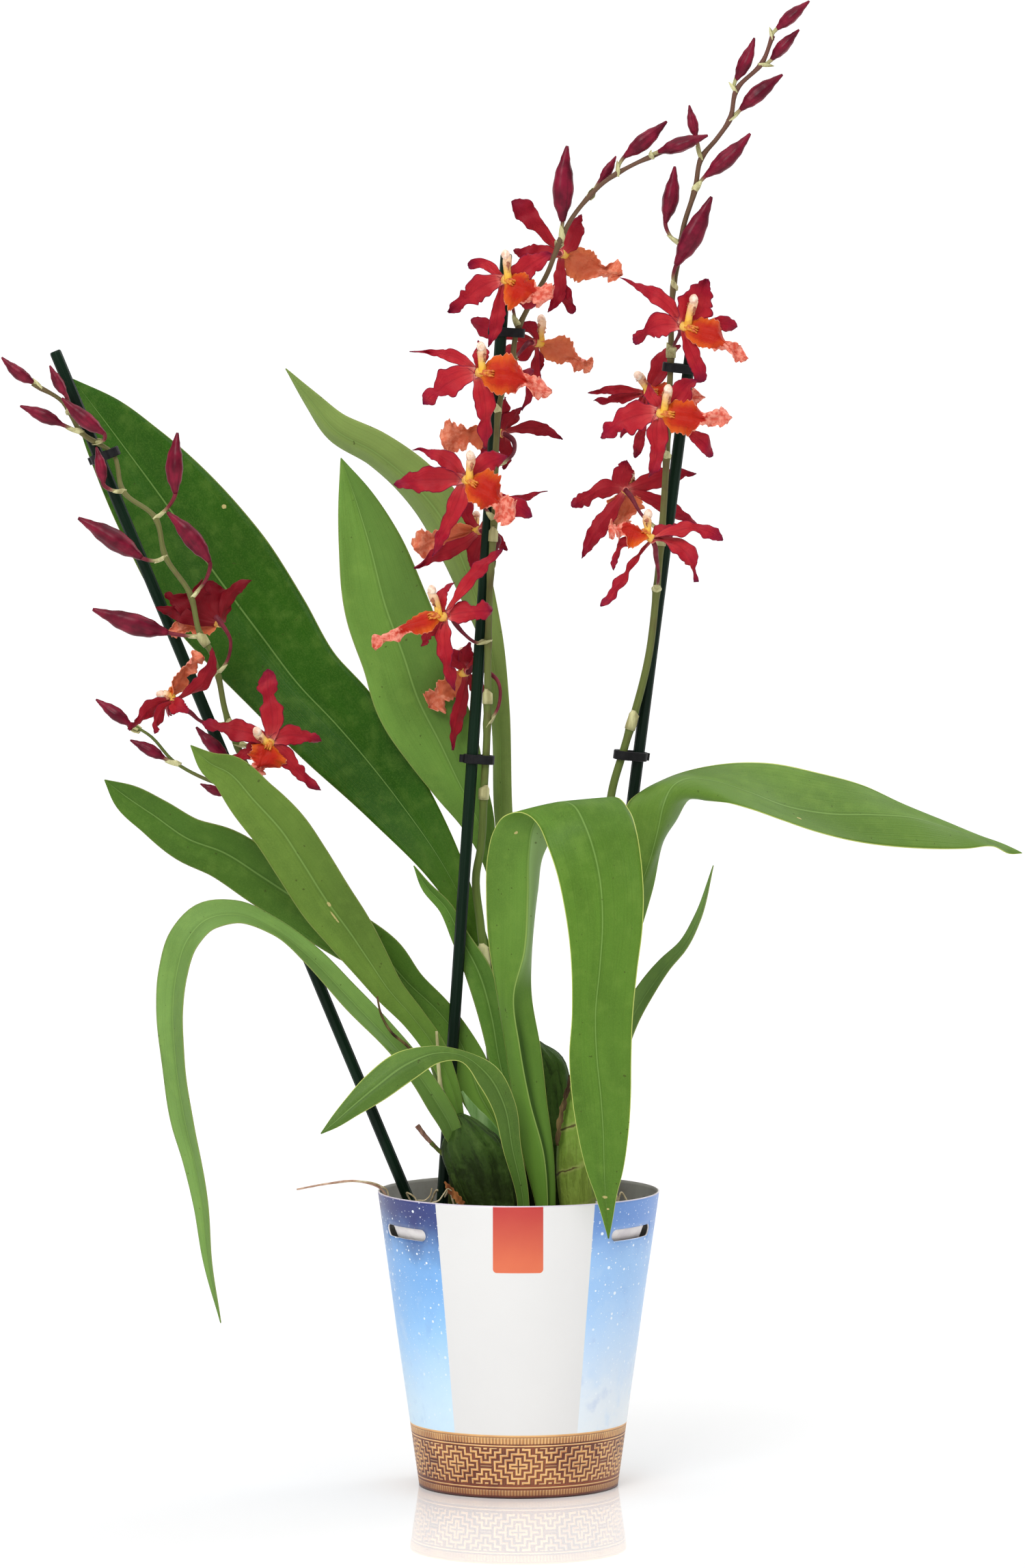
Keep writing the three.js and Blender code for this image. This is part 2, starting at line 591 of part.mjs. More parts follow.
// The open blooms. at is the middle of the bloom and face the way it looks. The lip and the tepals are given
// by their tips from that middle, with half their width last. stalk runs from the stem to the bloom's back.
const blooms = [
  {
    name: "a1", stem: "flower_stem_a", at: [-126, -28, 370], face: [0.1, -0.97, 0.15],
    column: [-1, -6, 7], lip: [-4, -5, -18, 8.5],
    tepals: [[3, 3, 37, 5.6], [29, 3, 1, 5], [28, 4, -23, 4.6], [-18, 3, -8, 4], [-31, -1, 11, 5]],
    stalk: [[-139, -7, 369], [-129, -14.4, 369]],
  },
  {
    name: "a2", stem: "flower_stem_a", at: [-167, -19, 390], face: [-0.78, 0.1, 0.62],
    column: [-8, -1, 5], lip: [8, 2, 22, 5.5],
    tepals: [
      [-26, -4, -12, 4.4], [-14, -12, -17, 4.4], [17, -9, 27, 4.6], [4, -11, -2, 4], [-10, 15, -5, 4.6],
    ],
    stalk: [[-142.6, -9, 379], [-157, -12, 381], [-162, -16.9, 385.6]],
  },
  {
    name: "a3", stem: "flower_stem_a", at: [-153, -5, 435], face: [-0.25, 0.96, 0.1],
    column: [-5, 8, 5], lip: [-19, 5, -9, 6.5],
    tepals: [[21, -2, 15, 3.4], [10, 2, 9, 6], [-5, 0, 17, 5], [-21, 0, 10, 4.6], [-26, -1, 1, 4]],
    stalk: [[-149, -12, 404], [-144, -12.5, 410], [-142, -13, 421], [-149, -9.6, 432]],
  },
  {
    name: "b1", stem: "flower_stem_b", at: [21, 20, 611], face: [0.36, 0.93, 0],
    column: [4, 8, 7], lip: [28, 8, -13, 8],
    tepals: [[-22, -2, 24, 5], [9, 3, 19, 4.6], [-24, -2, 1, 4.6], [-6, -1, -28, 4.2], [4, 2, -25, 4.2]],
    stalk: [[20, 1, 616], [18.6, 11.9, 612.4]],
  },
  {
    name: "b2", stem: "flower_stem_b", at: [-4, -21, 600], face: [0.25, -0.96, 0.1],
    column: [-2, -6, 10], lip: [17, -5, -14, 9],
    tepals: [[-21, 4, 4, 4.6], [-30, 4, -19, 5.4], [-11, 1, -35, 5.2], [18, 5, 13, 5.4], [14, 6, -14, 4.4]],
    stalk: [[-1, 0, 576], [-3, -7.6, 585], [-5, -13.2, 595]],
  },
  {
    name: "b3", stem: "flower_stem_b", at: [8, 22, 567], face: [0.78, 0.62, 0],
    column: [4, 3, 11], lip: [28, 5, -11, 7.5],
    tepals: [[-5, -2, 12, 4.6], [-32, 6, 11, 4.6], [-17, 8, -7, 5.6], [-7, -2, -33, 4.4], [3, 8, -19, 4.6]],
    stalk: [[-3, -1.5, 558], [-0.5, 8, 561], [4.4, 16, 566.5]],
  },
  {
    name: "b4", stem: "flower_stem_b", at: [-16, -29, 557], face: [0.25, -0.96, 0.1],
    column: [-1, -6, 11], lip: [29, -3, -11, 8.5],
    tepals: [[-38, 5, 6, 5], [-32, 4, -21, 6], [1, 4, -42, 5.6], [-3, 4.4, 13, 4.6], [24, 7, -6, 4.2]],
    stalk: [[-10.5, -5, 533], [-14, -13.2, 544], [-17, -18.9, 555]],
  },
  {
    name: "b5", stem: "flower_stem_b", at: [-7, 20, 522], face: [-0.45, 0.87, 0.2],
    column: [-4, 8, 7], lip: [-29, 6, 0, 8.5],
    tepals: [[28, 6, -2, 4.6], [7, 3, 15, 4.6], [-5, 1, 11, 4.4], [-10, -3, -14, 4.6], [3, 3, -18, 4.4]],
    stalk: [[-11.3, -4.7, 507], [-6, -0.1, 509], [-2, 7.7, 514], [-3.6, 14.6, 520]],
  },
  {
    name: "b6", stem: "flower_stem_b", at: [-22, -27, 501], face: [0.2, -0.97, 0.1],
    column: [-1, -6, 12], lip: [19, -4, -16, 9],
    tepals: [[-31, 5, 16, 4.8], [-40, 4, -3, 5.2], [-22, 4, -38, 5.4], [17, 5, 11, 6], [29, 7, -19, 4.6]],
    stalk: [[-12.5, -4, 480], [-18, -12, 489], [-22, -17.5, 499]],
  },
  {
    name: "b7", stem: "flower_stem_b", at: [-19, 17, 474], face: [-0.26, 0.96, 0.15],
    column: [-3, 8, 7], lip: [-30, 5, -7, 7.5],
    tepals: [
      [-33, -2, -16, 4.6], [-9, 2.5, 16, 4.5], [33, 4, 21, 4.6], [-4, 4.4, -22, 4.6], [14, 2, -9, 4.3],
    ],
    stalk: [[-14, -3.5, 455], [-11, 1.8, 465], [-9.5, 6.2, 470], [-15.5, 10.9, 473.5]],
  },
  {
    name: "b8", stem: "flower_stem_b", at: [-36, -20, 432], face: [-0.78, -0.62, 0.1],
    column: [-8, -4, 13], lip: [-30, -7, -17, 7],
    tepals: [[4, 3, 18, 4.4], [29, -3, 34, 4.4], [22, -3, 2, 6.4], [3, -3, -37, 5], [-11, 10, -14, 4.6]],
    stalk: [[-15, -2.5, 420], [-21, -7.3, 419.5], [-27, -11.2, 424], [-32, -15, 430.5]],
  },
  {
    name: "b9", stem: "flower_stem_b", at: [-25, 12, 407], face: [-0.42, 0.91, 0],
    column: [-4, 8, 6], lip: [-19, 4, -13, 7.5],
    tepals: [[-7, -1, -42, 4.6], [0, 3, 12, 4.4], [-11, 1, 9, 4.4], [8, 5, -13, 4.4], [11, 5, 6, 4.4]],
    stalk: [[-15.5, 0, 378], [-9.8, 1.1, 388], [-10.5, 5.6, 400], [-17, 8.6, 405], [-21.8, 8.9, 407]],
  },
  {
    name: "c1", stem: "flower_stem_c", at: [82, -20, 575], face: [0.36, -0.92, 0.15],
    column: [5, -4, 13], lip: [29, -3, -14, 7.5],
    tepals: [[-31, 2, 26, 4.6], [-25, 2, -8, 6.4], [10, 4, 24, 7], [26, 6, 1, 4.4], [10, 1, -27, 4.6]],
    stalk: [[75.3, 1.7, 562], [77, -6.4, 567], [79.6, -12.3, 573]],
  },
  {
    name: "c2", stem: "flower_stem_c", at: [72, -25, 533], face: [0.25, -0.96, 0.1],
    column: [1, -5, 12], lip: [26, -3, -10, 8],
    tepals: [[-33, 2, -11, 6.4], [-6, 6, 16, 4.4], [16, 4, 18, 5.4], [23, 7, -19, 4.4], [-8, 2, -31, 5.2]],
    stalk: [[73, 1, 510], [71.5, -9.2, 520], [70.5, -16, 530]],
  },
  {
    name: "c3", stem: "flower_stem_c", at: [63, 24, 542], face: [0.1, -0.98, 0.15],
    column: [-3, -5, 9], lip: [28, 6, -1, 7],
    tepals: [[15, 1, 25, 5.2], [-29, -4, 1, 4.6], [-26, 8, -6, 4.6], [-5, 0, -32, 4.2], [-12, 6, -22, 4.4]],
    stalk: [[73.6, 1.6, 524], [71, 12, 524], [66, 28, 530], [63, 29, 539]],
  },
  {
    name: "c4", stem: "flower_stem_c", at: [54, 21, 494], face: [0, 0.995, 0.1],
    column: [2, 8, 7], lip: [-1, 12, -20, 8.5],
    tepals: [[0, -2, 15, 5.4], [-28, -2, -6, 5.4], [-23, -2, -34, 5.4], [33, 9, 7, 5], [34, 9, -16, 5]],
    stalk: [[70.7, 1, 474], [61, 6.2, 482], [55.6, 11.7, 491]],
  },
  {
    name: "c5", stem: "flower_stem_c", at: [65, -21, 469], face: [-0.36, -0.2, 0.91],
    column: [-5, 2, 11], lip: [-22, -4, 7, 7],
    tepals: [[35, -3, 1, 5], [22, -6, -19, 5.4], [-19, -4, -13, 5], [-25, 0, -31, 4.6], [16, 9, 8, 4.6]],
    stalk: [[68, 1, 444], [69, -9.5, 453], [67.5, -16.6, 463]],
  },
];

const CORE_BACK = 1.6;
const CORE_FRONT = 0.9;

// A blade of a bloom from its root to its tip, with its width profile and wave along shares of its length.
function petal({ root, bulge, tip, face, half, shares, widths, waves, columns, middle, fold }) {
  const curve = new THREE.QuadraticBezierCurve3(root, bulge, tip);
  const rings = shares.map((s, i) => {
    const along = curve.getTangent(s);
    const across = face.clone().cross(along).normalize();
    const normal = along.clone().cross(across);
    return bladeRing({
      centre: curve.getPoint(s), across, normal, half: Math.max(half * widths[i], 0.6),
      middle, columns, fold, waves: [waves[i], -0.8 * waves[i]],
    });
  });
  return loft(rings);
}

// The five tepals of a bloom, joined at its middle.
function tepals({ at, face, tepals: rows }) {
  const centre = point(at);
  const look = point(face).normalize();
  const ends = [-CORE_BACK, CORE_FRONT].map((reach) => centre.clone().addScaledVector(look, reach).toArray());
  const core = limb(ends, [2.2, 2.7], 4);
  const blades = rows.map(([x, y, z, half], i) => {
    const reach = new THREE.Vector3(x, y, z);
    return petal({
      root: centre.clone().addScaledVector(reach.clone().normalize(), 1.6),
      bulge: centre.clone().addScaledVector(reach, 0.5).addScaledVector(look, 1.5),
      tip: centre.clone().add(reach),
      face: look,
      half,
      shares: [0, 0.34, 0.7, 1],
      widths: [0.2, 0.6, 1, 0.16],
      waves: [0, 0.6, i % 2 ? -1 : 1, 0],
      columns: 3,
      middle: TEPAL_MIDDLE,
      fold: 0.15,
    });
  });
  return joined([core, ...blades]);
}

// The lip of a bloom with its column: a waisted, ruffled blade and the upright column over its root.
function lip({ at, face, column, lip: [x, y, z, half] }) {
  const centre = point(at);
  const look = point(face).normalize();
  const start = centre.clone().addScaledVector(look, CORE_FRONT + 0.3);
  const root = centre.clone().addScaledVector(look, 2.6);
  const reach = new THREE.Vector3(x, y, z);
  const blade = petal({
    root,
    bulge: centre.clone().addScaledVector(reach, 0.45).addScaledVector(look, 6),
    tip: centre.clone().add(reach),
    face: look,
    half,
    shares: [0, 0.24, 0.46, 0.76, 1],
    widths: [0.2, 0.6, 0.5, 1, 0.6],
    waves: [0, 0, 0.6, -1.4, 1.6],
    columns: 5,
    middle: LIP_MIDDLE,
    fold: -0.22,
  });
  const tip = centre.clone().add(point(column));
  const waist = root.clone().lerp(tip, 0.55).addScaledVector(look, -0.4);
  const post = limb([start, root, waist, tip].map((p) => p.toArray()), [1.7, 1.6, 1.3, 1.7], 4);
  return joined([blade, post]);
}

// A flower stem with its side branch, its buds and the pedicels of its open blooms.
function flowerStem({ name, radii, line, branch, buds }) {
  const parts = [limb(line, taper(line.length, ...radii))];
  if (branch) parts.push(limb(branch, taper(branch.length, 1.1, 0.7)));
  for (const row of buds) parts.push(bud(...row));
  for (const bloom of blooms.filter((row) => row.stem === name)) {
    const look = point(bloom.face).normalize();
    const end = point(bloom.at).addScaledVector(look, -CORE_BACK - 0.6).toArray();
    const [foot, ...rest] = bloom.stalk;
    const rows = [foot, bractAt(foot, rest[0]), ...rest, end];
    parts.push(limb(rows, [0.7, BRACT_RADIUS, ...taper(rows.length - 2, 0.9, 1)], 4));
  }
  return joined(parts);
}

// Assembly, from the outside in and from the pot up.
place("cover_sleeve", sleeve(), "sleeve");
place("culture_pot", culturePot(), "pot");

const stemHoles = stems.map(({ line, radii }) => ({
  from: [line[0][0], line[0][1], line[0][2] - 1],
  to: [line[1][0], line[1][1], line[1][2]],
  radius: radii[0] + 0.6,
}));
const stakeHoles = stakes.map((row) => ({
  from: onStake(row, row.foot[2] - 1).toArray(),
  to: onStake(row, MEDIUM_TOP + 12).toArray(),
  radius: STAKE_RADIUS + 0.6,
}));
place("growing_medium", growingMedium([...stemHoles, ...stakeHoles]), "medium");

for (const row of stakes) place(row.name, stake(row), "stake");
const clips = [
  { name: "clip_a", holder: stakes[0], at: [-200.5, 0, 513], stemRadius: 1.3 },
  { name: "clip_b_high", holder: stakes[1], at: [-0.6, 0, 572], stemRadius: 1.7 },
  { name: "clip_b_low", holder: stakes[1], at: [-16.2, 1.4, 361], stemRadius: 2.2 },
  { name: "clip_c_high", holder: stakes[2], at: [75, 2, 555], stemRadius: 1.9 },
  { name: "clip_c_low", holder: stakes[2], at: [51.4, 8.1, 363], stemRadius: 2.3 },
];
for (const row of clips) place(row.name, clip(row.holder, row.at, row.stemRadius), "clip");

place("pseudobulbs", pseudobulbs(), "bulb");
for (const row of leaves) place(row.name, leaf(row), "leaf");
for (const row of stems) place(row.name, flowerStem(row), "stem");
for (const row of blooms) {
  place(`bloom_${row.name}_tepals`, tepals(row), "tepal");
  place(`bloom_${row.name}_lip`, lip(row), "lip");
}

export default group;
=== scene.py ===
"""A cambria orchid in bloom, in a plastic culture pot inside a printed card sleeve.

Every length in the tables is in millimetres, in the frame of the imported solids: x to the right, y away from
the front, z up from the surface the sleeve stands on.
"""
import math
import random

import bpy
import bmesh
import numpy as np
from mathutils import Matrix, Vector


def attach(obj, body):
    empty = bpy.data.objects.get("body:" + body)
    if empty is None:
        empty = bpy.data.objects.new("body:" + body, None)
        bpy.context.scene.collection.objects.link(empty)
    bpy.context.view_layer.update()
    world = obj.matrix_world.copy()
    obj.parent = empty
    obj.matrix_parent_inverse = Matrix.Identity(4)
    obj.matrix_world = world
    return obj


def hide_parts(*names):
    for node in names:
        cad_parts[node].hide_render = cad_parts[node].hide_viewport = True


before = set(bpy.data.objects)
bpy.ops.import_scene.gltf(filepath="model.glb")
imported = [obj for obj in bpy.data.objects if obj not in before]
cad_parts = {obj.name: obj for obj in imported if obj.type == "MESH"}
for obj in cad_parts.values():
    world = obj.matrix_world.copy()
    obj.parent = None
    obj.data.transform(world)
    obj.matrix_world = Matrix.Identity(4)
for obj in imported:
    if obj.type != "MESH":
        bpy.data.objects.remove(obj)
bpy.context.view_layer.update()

MM = 0.001
# A turn in radians, for random starts of waves.
CYCLE = 6.28
SLEEVE_HEIGHT = 147.0
SLEEVE_TOP_RADIUS = 70.0
SLEEVE_FOOT_RADIUS = 49.5
CARD = 0.75
FLOOR_CARD = 1.2
SLOT_Z = 130.0
SLOT_HEIGHT = 5.8
SLOT_FROM = 42.5
SLOT_TO = 72.0
# How far a slot's round end reaches, in degrees about the sleeve's axis.
SLOT_END = math.degrees(SLOT_HEIGHT / 2 / 68.0)
# The sleeve's print: the white panel's half width in degrees, the tag and the foot band in millimetres.
PANEL_HALF = 34.0
TAG_HALF = 12.4
TAG_CORNER = 2.0
TAG_FOOT = 113.5
BAND_TOP = 32.0
FIELD_MIDDLE = 16.2
FIELD_HALF = 9.2
TILE = 16.0
TILE_DEGREES = 18.0
# How far the band's relief is shifted, in millimetres, to paint its highlight, shade and shadow.
RELIEF_SHIFT = 0.3
SKY_RADIUS = 60
POT_HEIGHT = 136.0
POT_TOP_RADIUS = 59.6
POT_FOOT_RADIUS = 44.0
POT_FLANGE = 62.5
MEDIUM_TOP = 130.0
STAKE_RADIUS = 2.9
STAKE_FLUTES = 8
CLIP_HEIGHT = 4.5
CLIP_WALL = 1.1

# Small tools: curves through points, frames along them, and meshes from rows of points.
def unit(v):
    v = np.asarray(v, float)
    return v / np.maximum(np.linalg.norm(v, axis=-1, keepdims=True), 1e-9)


def smooth(rows, count):
    """Rows of numbers, the first three a point, resampled evenly along a smooth curve through them."""
    rows = np.array(rows, float)
    at = np.concatenate([[0.0], np.cumsum(np.linalg.norm(np.diff(rows[:, :3], axis=0), axis=1))])
    slope = np.gradient(rows, at, axis=0)
    t = np.linspace(0.0, at[-1], count)
    i = np.clip(np.searchsorted(at, t, side="right") - 1, 0, len(at) - 2)
    h = (at[i + 1] - at[i])[:, None]
    s = (t - at[i])[:, None] / h
    here = (1 + 2 * s) * (1 - s) ** 2 * rows[i] + s * (1 - s) ** 2 * h * slope[i]
    return here + s * s * (3 - 2 * s) * rows[i + 1] + s * s * (s - 1) * h * slope[i + 1]


def through(value, pairs):
    """A smooth step curve through (place, height) pairs."""
    xs, ys = zip(*pairs)
    value = np.asarray(value, float)
    i = np.clip(np.searchsorted(xs, value, side="right") - 1, 0, len(xs) - 2)
    xs, ys = np.array(xs, float), np.array(ys, float)
    s = np.clip((value - xs[i]) / (xs[i + 1] - xs[i]), 0, 1)
    s = s * s * (3 - 2 * s)
    return ys[i] * (1 - s) + ys[i + 1] * s


def turned(v, axis, angle):
    """Vectors turned about axes by angles, row by row."""
    cos, sin = np.cos(angle)[:, None], np.sin(angle)[:, None]
    return v * cos + np.cross(axis, v) * sin + axis * np.sum(axis * v, 1)[:, None] * (1 - cos)


def spread(count):
    """Places from -1 to 1, a little closer together towards the ends."""
    u = np.linspace(-1, 1, count)
    return np.sign(u) * np.abs(u) ** 0.86


class Sheet:
    """Collects points, faces, UVs and material numbers, then makes one mesh object of them."""

    def __init__(self):
        self.points, self.faces, self.uvs, self.slots = [], [], [], []

    def grid(self, points, uv, closed=False, slot=0, flip=False):
        """A grid of points (rows, columns, 3) with one UV each. closed joins the last column to the first."""
        rows, cols = points.shape[:2]
        base = sum(len(p) for p in self.points)
        self.points.append(points.reshape(-1, 3))
        for r in range(rows - 1):
            for c in range(cols if closed else cols - 1):
                d = (c + 1) % cols
                quad = [(r, c), (r, d), (r + 1, d), (r + 1, c)]
                uvs = [tuple(uv[a][b]) for a, b in quad]
                if closed and d == 0:
                    uvs[1] = (uvs[1][0] + 1, uvs[1][1])
                    uvs[2] = (uvs[2][0] + 1, uvs[2][1])
                if flip:
                    quad, uvs = quad[::-1], uvs[::-1]
                self.faces.append([base + a * cols + b for a, b in quad])
                self.uvs.append(uvs)
                self.slots.append(slot)
        return base

    def face(self, ids, uvs, slot=0):
        self.faces.append(list(ids))
        self.uvs.append(list(uvs))
        self.slots.append(slot)

    def make(self, name, materials, smooth_faces=True, weld=0.0):
        mesh = bpy.data.meshes.new(name)
        mesh.from_pydata((np.concatenate(self.points) * MM).tolist(), [], self.faces)
        layer = mesh.uv_layers.new(name="UVMap")
        layer.data.foreach_set("uv", [x for face in self.uvs for uv in face for x in uv])
        mesh.polygons.foreach_set("material_index", self.slots)
        mesh.polygons.foreach_set("use_smooth", [smooth_faces] * len(self.faces))
        for material in materials:
            mesh.materials.append(material)
        if weld:
            bm = bmesh.new()
            bm.from_mesh(mesh)
            bmesh.ops.remove_doubles(bm, verts=bm.verts, dist=weld * MM)
            bm.to_mesh(mesh)
            bm.free()
        mesh.update()
        obj = bpy.data.objects.new(name, mesh)
        bpy.context.scene.collection.objects.link(obj)
        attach(obj, "root")
        return obj


def add_skin(sheet, middle, u, thick, slots=(0, 0), front=None):
    """A thin closed sheet about a grid of points. u (columns) runs from -1 to 1 and thick is (edge, middle).
    UV is across 0 to 1 and along 0 to 1, with 2 added across on the back. front is a vector per row that
    says which side is the front."""
    rows, cols = middle.shape[:2]
    facing = unit(np.cross(np.gradient(middle, axis=1), np.gradient(middle, axis=0)))
    if front is not None and np.sum(facing * front[:, None, :]) < 0:
        middle, u, facing = middle[:, ::-1], u[::-1], -facing[:, ::-1]
    wide = np.linalg.norm(middle[:, -1] - middle[:, 0], axis=1)
    edge, mid = thick
    half = edge + (mid - edge) * (1 - np.abs(u[None, :]) ** 1.6) * np.minimum(1, wide / 9)[:, None]
    uv = np.stack(np.meshgrid((u + 1) / 2, np.linspace(0, 1, rows)), axis=2)
    a = sheet.grid(middle + facing * half[..., None] / 2, uv, slot=slots[0])
    b = sheet.grid(middle - facing * half[..., None] / 2, uv + np.array([2.0, 0.0]), slot=slots[1], flip=True)
    loop = [(0, c) for c in range(cols)] + [(r, cols - 1) for r in range(1, rows)]
    loop += [(rows - 1, c) for c in range(cols - 2, -1, -1)] + [(r, 0) for r in range(rows - 2, 0, -1)]
    for here, there in zip(loop, loop[1:] + loop[:1]):
        i, j = here[0] * cols + here[1], there[0] * cols + there[1]
        sheet.face([a + j, a + i, b + i, b + j], [tuple(uv[k]) for k in (there, here, here, there)], slots[0])


def add_blade(sheet, centre, across, normal, left, right, lift, thick, columns, slots=(0, 0)):
    """A thin closed blade. left and right are half widths by row, and lift(u, s) raises it off its middle."""
    u = spread(columns + 1)
    s = np.linspace(0, 1, len(centre))[:, None]
    reach = np.where(u[None, :] < 0, np.asarray(left)[:, None], np.asarray(right)[:, None]) * u[None, :]
    rise = lift(u[None, :], s) * np.ones_like(reach)
    middle = centre[:, None, :] + across[:, None, :] * reach[..., None] + normal[:, None, :] * rise[..., None]
    add_skin(sheet, middle, u, thick, slots, normal)


def frames(path, start=None):
    """Tangents and two side vectors that don't twist along a path."""
    along = unit(np.gradient(path, axis=0))
    side = np.zeros_like(along)
    last = np.array(start if start is not None else (0.0, 1.0, 0.02), float)
    for i, ahead in enumerate(along):
        last = unit(last - ahead * np.dot(last, ahead))
        side[i] = last
    return along, side, np.cross(along, side)


def add_tube(sheet, path, radii, sides=12, slot=0, shape=None, start=None, uv_length=10.0):
    """A closed tube along a path. shape(turn, share) scales the radius, and radii may be (wide, deep)."""
    path = np.asarray(path, float)
    along, side, other = frames(path, start)
    radii = np.asarray(radii, float)
    if radii.ndim == 1:
        radii = np.stack([radii, radii], axis=1)
    turn = np.linspace(0, 2 * np.pi, sides, endpoint=False)
    share = np.linspace(0, 1, len(path))
    scale = np.ones((len(path), sides))
    if shape is not None:
        scale = shape(turn[None, :], share[:, None])
    ring = (
        side[:, None, :] * (np.cos(turn)[None, :, None] * radii[:, 1][:, None, None])
        + other[:, None, :] * (np.sin(turn)[None, :, None] * radii[:, 0][:, None, None])
    )
    points = path[:, None, :] + ring * scale[..., None]
    length = np.concatenate([[0.0], np.cumsum(np.linalg.norm(np.diff(path, axis=0), axis=1))])
    uv = np.stack(np.meshgrid(turn / (2 * np.pi), length / uv_length), axis=2)
    base = sheet.grid(points, uv, closed=True, slot=slot)
    rows = len(path)
    sheet.face([base + c for c in range(sides)][::-1], [(0.5, 0.0)] * sides, slot)
    end = base + (rows - 1) * sides
    sheet.face([end + c for c in range(sides)], [(0.5, length[-1] / uv_length)] * sides, slot)


def lathe(sheet, profile, segments, slot=0, ripple=None):
    """A closed body turned about the z axis. The profile runs from the axis round the section to the axis."""
    turn = np.linspace(0, 2 * np.pi, segments, endpoint=False)
    profile = np.asarray(profile, float)
    r = np.repeat(profile[:, 0][:, None], segments, axis=1)
    z = np.repeat(profile[:, 1][:, None], segments, axis=1)
    if ripple is not None:
        r, z = ripple(r, z, turn[None, :])
    points = np.stack([r * np.cos(turn), r * np.sin(turn), z], axis=2)
    uv = np.stack(np.meshgrid(turn / (2 * np.pi), profile[:, 1] / 10), axis=2)
    return sheet.grid(points, uv, closed=True, slot=slot)

# Materials. Each is a small tree of nodes that ends in the surface shader.
def rgb(*levels):
    """A colour from its screen levels, 0 to 255."""
    return tuple(c / 255 / 12.92 if c < 10 else ((c / 255 + 0.055) / 1.055) ** 2.4 for c in levels) + (1.0,)


class Paint:
    """The nodes of one material. Each method adds a few and gives back the socket that they end in."""

    def __init__(self, name, roughness=0.5, coat=0.0, specular=0.5, subsurface=0.0):
        self.material = bpy.data.materials.new(name)
        self.material.use_nodes = True
        self.tree = self.material.node_tree
        self.surface = self.tree.nodes["Principled BSDF"].inputs
        self.surface["Roughness"].default_value = roughness
        self.surface["Coat Weight"].default_value = coat
        self.surface["Coat Roughness"].default_value = 0.3
        self.surface["Specular IOR Level"].default_value = specular
        if subsurface:
            self.surface["Subsurface Weight"].default_value = subsurface
            self.surface["Subsurface Radius"].default_value = (1.0, 0.5, 0.3)
            self.surface["Subsurface Scale"].default_value = 0.002

    def put(self, kind, *values, out=0, **settings):
        """A node whose inputs, in order, are joined to a socket, set to a value or, for None, left alone."""
        node = self.tree.nodes.new("ShaderNode" + kind)
        for key, value in settings.items():
            setattr(node, key, value)
        for socket, value in zip(node.inputs, values):
            if isinstance(value, bpy.types.NodeSocket):
                self.tree.links.new(value, socket)
            elif value is not None:
                socket.default_value = value
        return node.outputs[out]

    def math(self, operation, *values):
        return self.put("Math", *values, operation=operation)

    def plus(self, a, b):
        return self.math("ADD", a, b)

    def minus(self, a, b):
        return self.math("SUBTRACT", a, b)

    def times(self, first, *others):
        for other in others:
            first = self.math("MULTIPLY", first, other)
        return first

    def scaled(self, value, slope, start):
        return self.math("MULTIPLY_ADD", value, slope, start)

    def vary(self, value, low, high):
        """The value's 0 to 1 spread over low to high."""
        return self.scaled(value, high - low, low)

    def step(self, value, low, high):
        """0 below low and 1 above high, smooth between; falling if low is above high."""
        if low > high:
            return self.minus(1.0, self.step(value, high, low))
        return self.put("MapRange", value, low, high, interpolation_type="SMOOTHSTEP")

    def place(self):
        """Where the point is on the object, in metres."""
        return self.put("TexCoord", out=3)

    def split(self, vector):
        return self.put("SeparateXYZ", vector, out=slice(3))

    def uv(self):
        return self.split(self.put("UVMap", uv_map="UVMap"))[:2]

    def join(self, x, y, z=0.0):
        return self.put("CombineXYZ", x, y, z)

    def noise(self, vector, scale, detail=3.0):
        return self.put("TexNoise", vector, None, scale, detail, 0.55)

    def streaks(self, x, y, across, along, more=0.0, detail=2.0):
        """Noise with so many streaks to one unit across and so many changes to one unit along."""
        return self.noise(self.join(self.times(x, across), self.times(y, along), more), 1.0, detail)

    def ramp(self, value, *stops):
        ramp = self.put("ValToRGB", value)
        elements = ramp.node.color_ramp.elements
        while len(elements) < len(stops):
            elements.new(0.5)
        for element, (position, colour) in zip(elements, stops):
            element.position = position
            element.color = colour
        return ramp

    def mix(self, factor, a, b):
        return self.put("Mix", factor, None, None, None, None, None, a, b, out=2, data_type="RGBA")

    def over(self, colour, *layers):
        """A colour under layers of (colour, mask, amount)."""
        for layer, mask, amount in layers:
            colour = self.mix(self.times(mask, amount), colour, layer)
        return colour

    def done(self, colour, roughness, bump=None, height=0.0002):
        """The finished material. height is the relief's depth in metres."""
        self.tree.links.new(colour, self.surface["Base Color"])
        self.tree.links.new(roughness, self.surface["Roughness"])
        if bump is not None:
            node = self.tree.nodes.new("ShaderNodeBump")
            node.inputs["Distance"].default_value = height
            node.inputs["Strength"].default_value = 1.0
            self.tree.links.new(bump, node.inputs["Height"])
            self.tree.links.new(node.outputs[0], self.surface["Normal"])
        return self.material


def blade_uv(p):
    """Across and along the blade, how far towards its edge, and 1 on its back."""
    x, y = p.uv()
    back = p.math("GREATER_THAN", x, 1.5)
    x = p.scaled(back, -2.0, x)
    return x, y, p.math("ABSOLUTE", p.scaled(x, 2.0, -1.0)), back


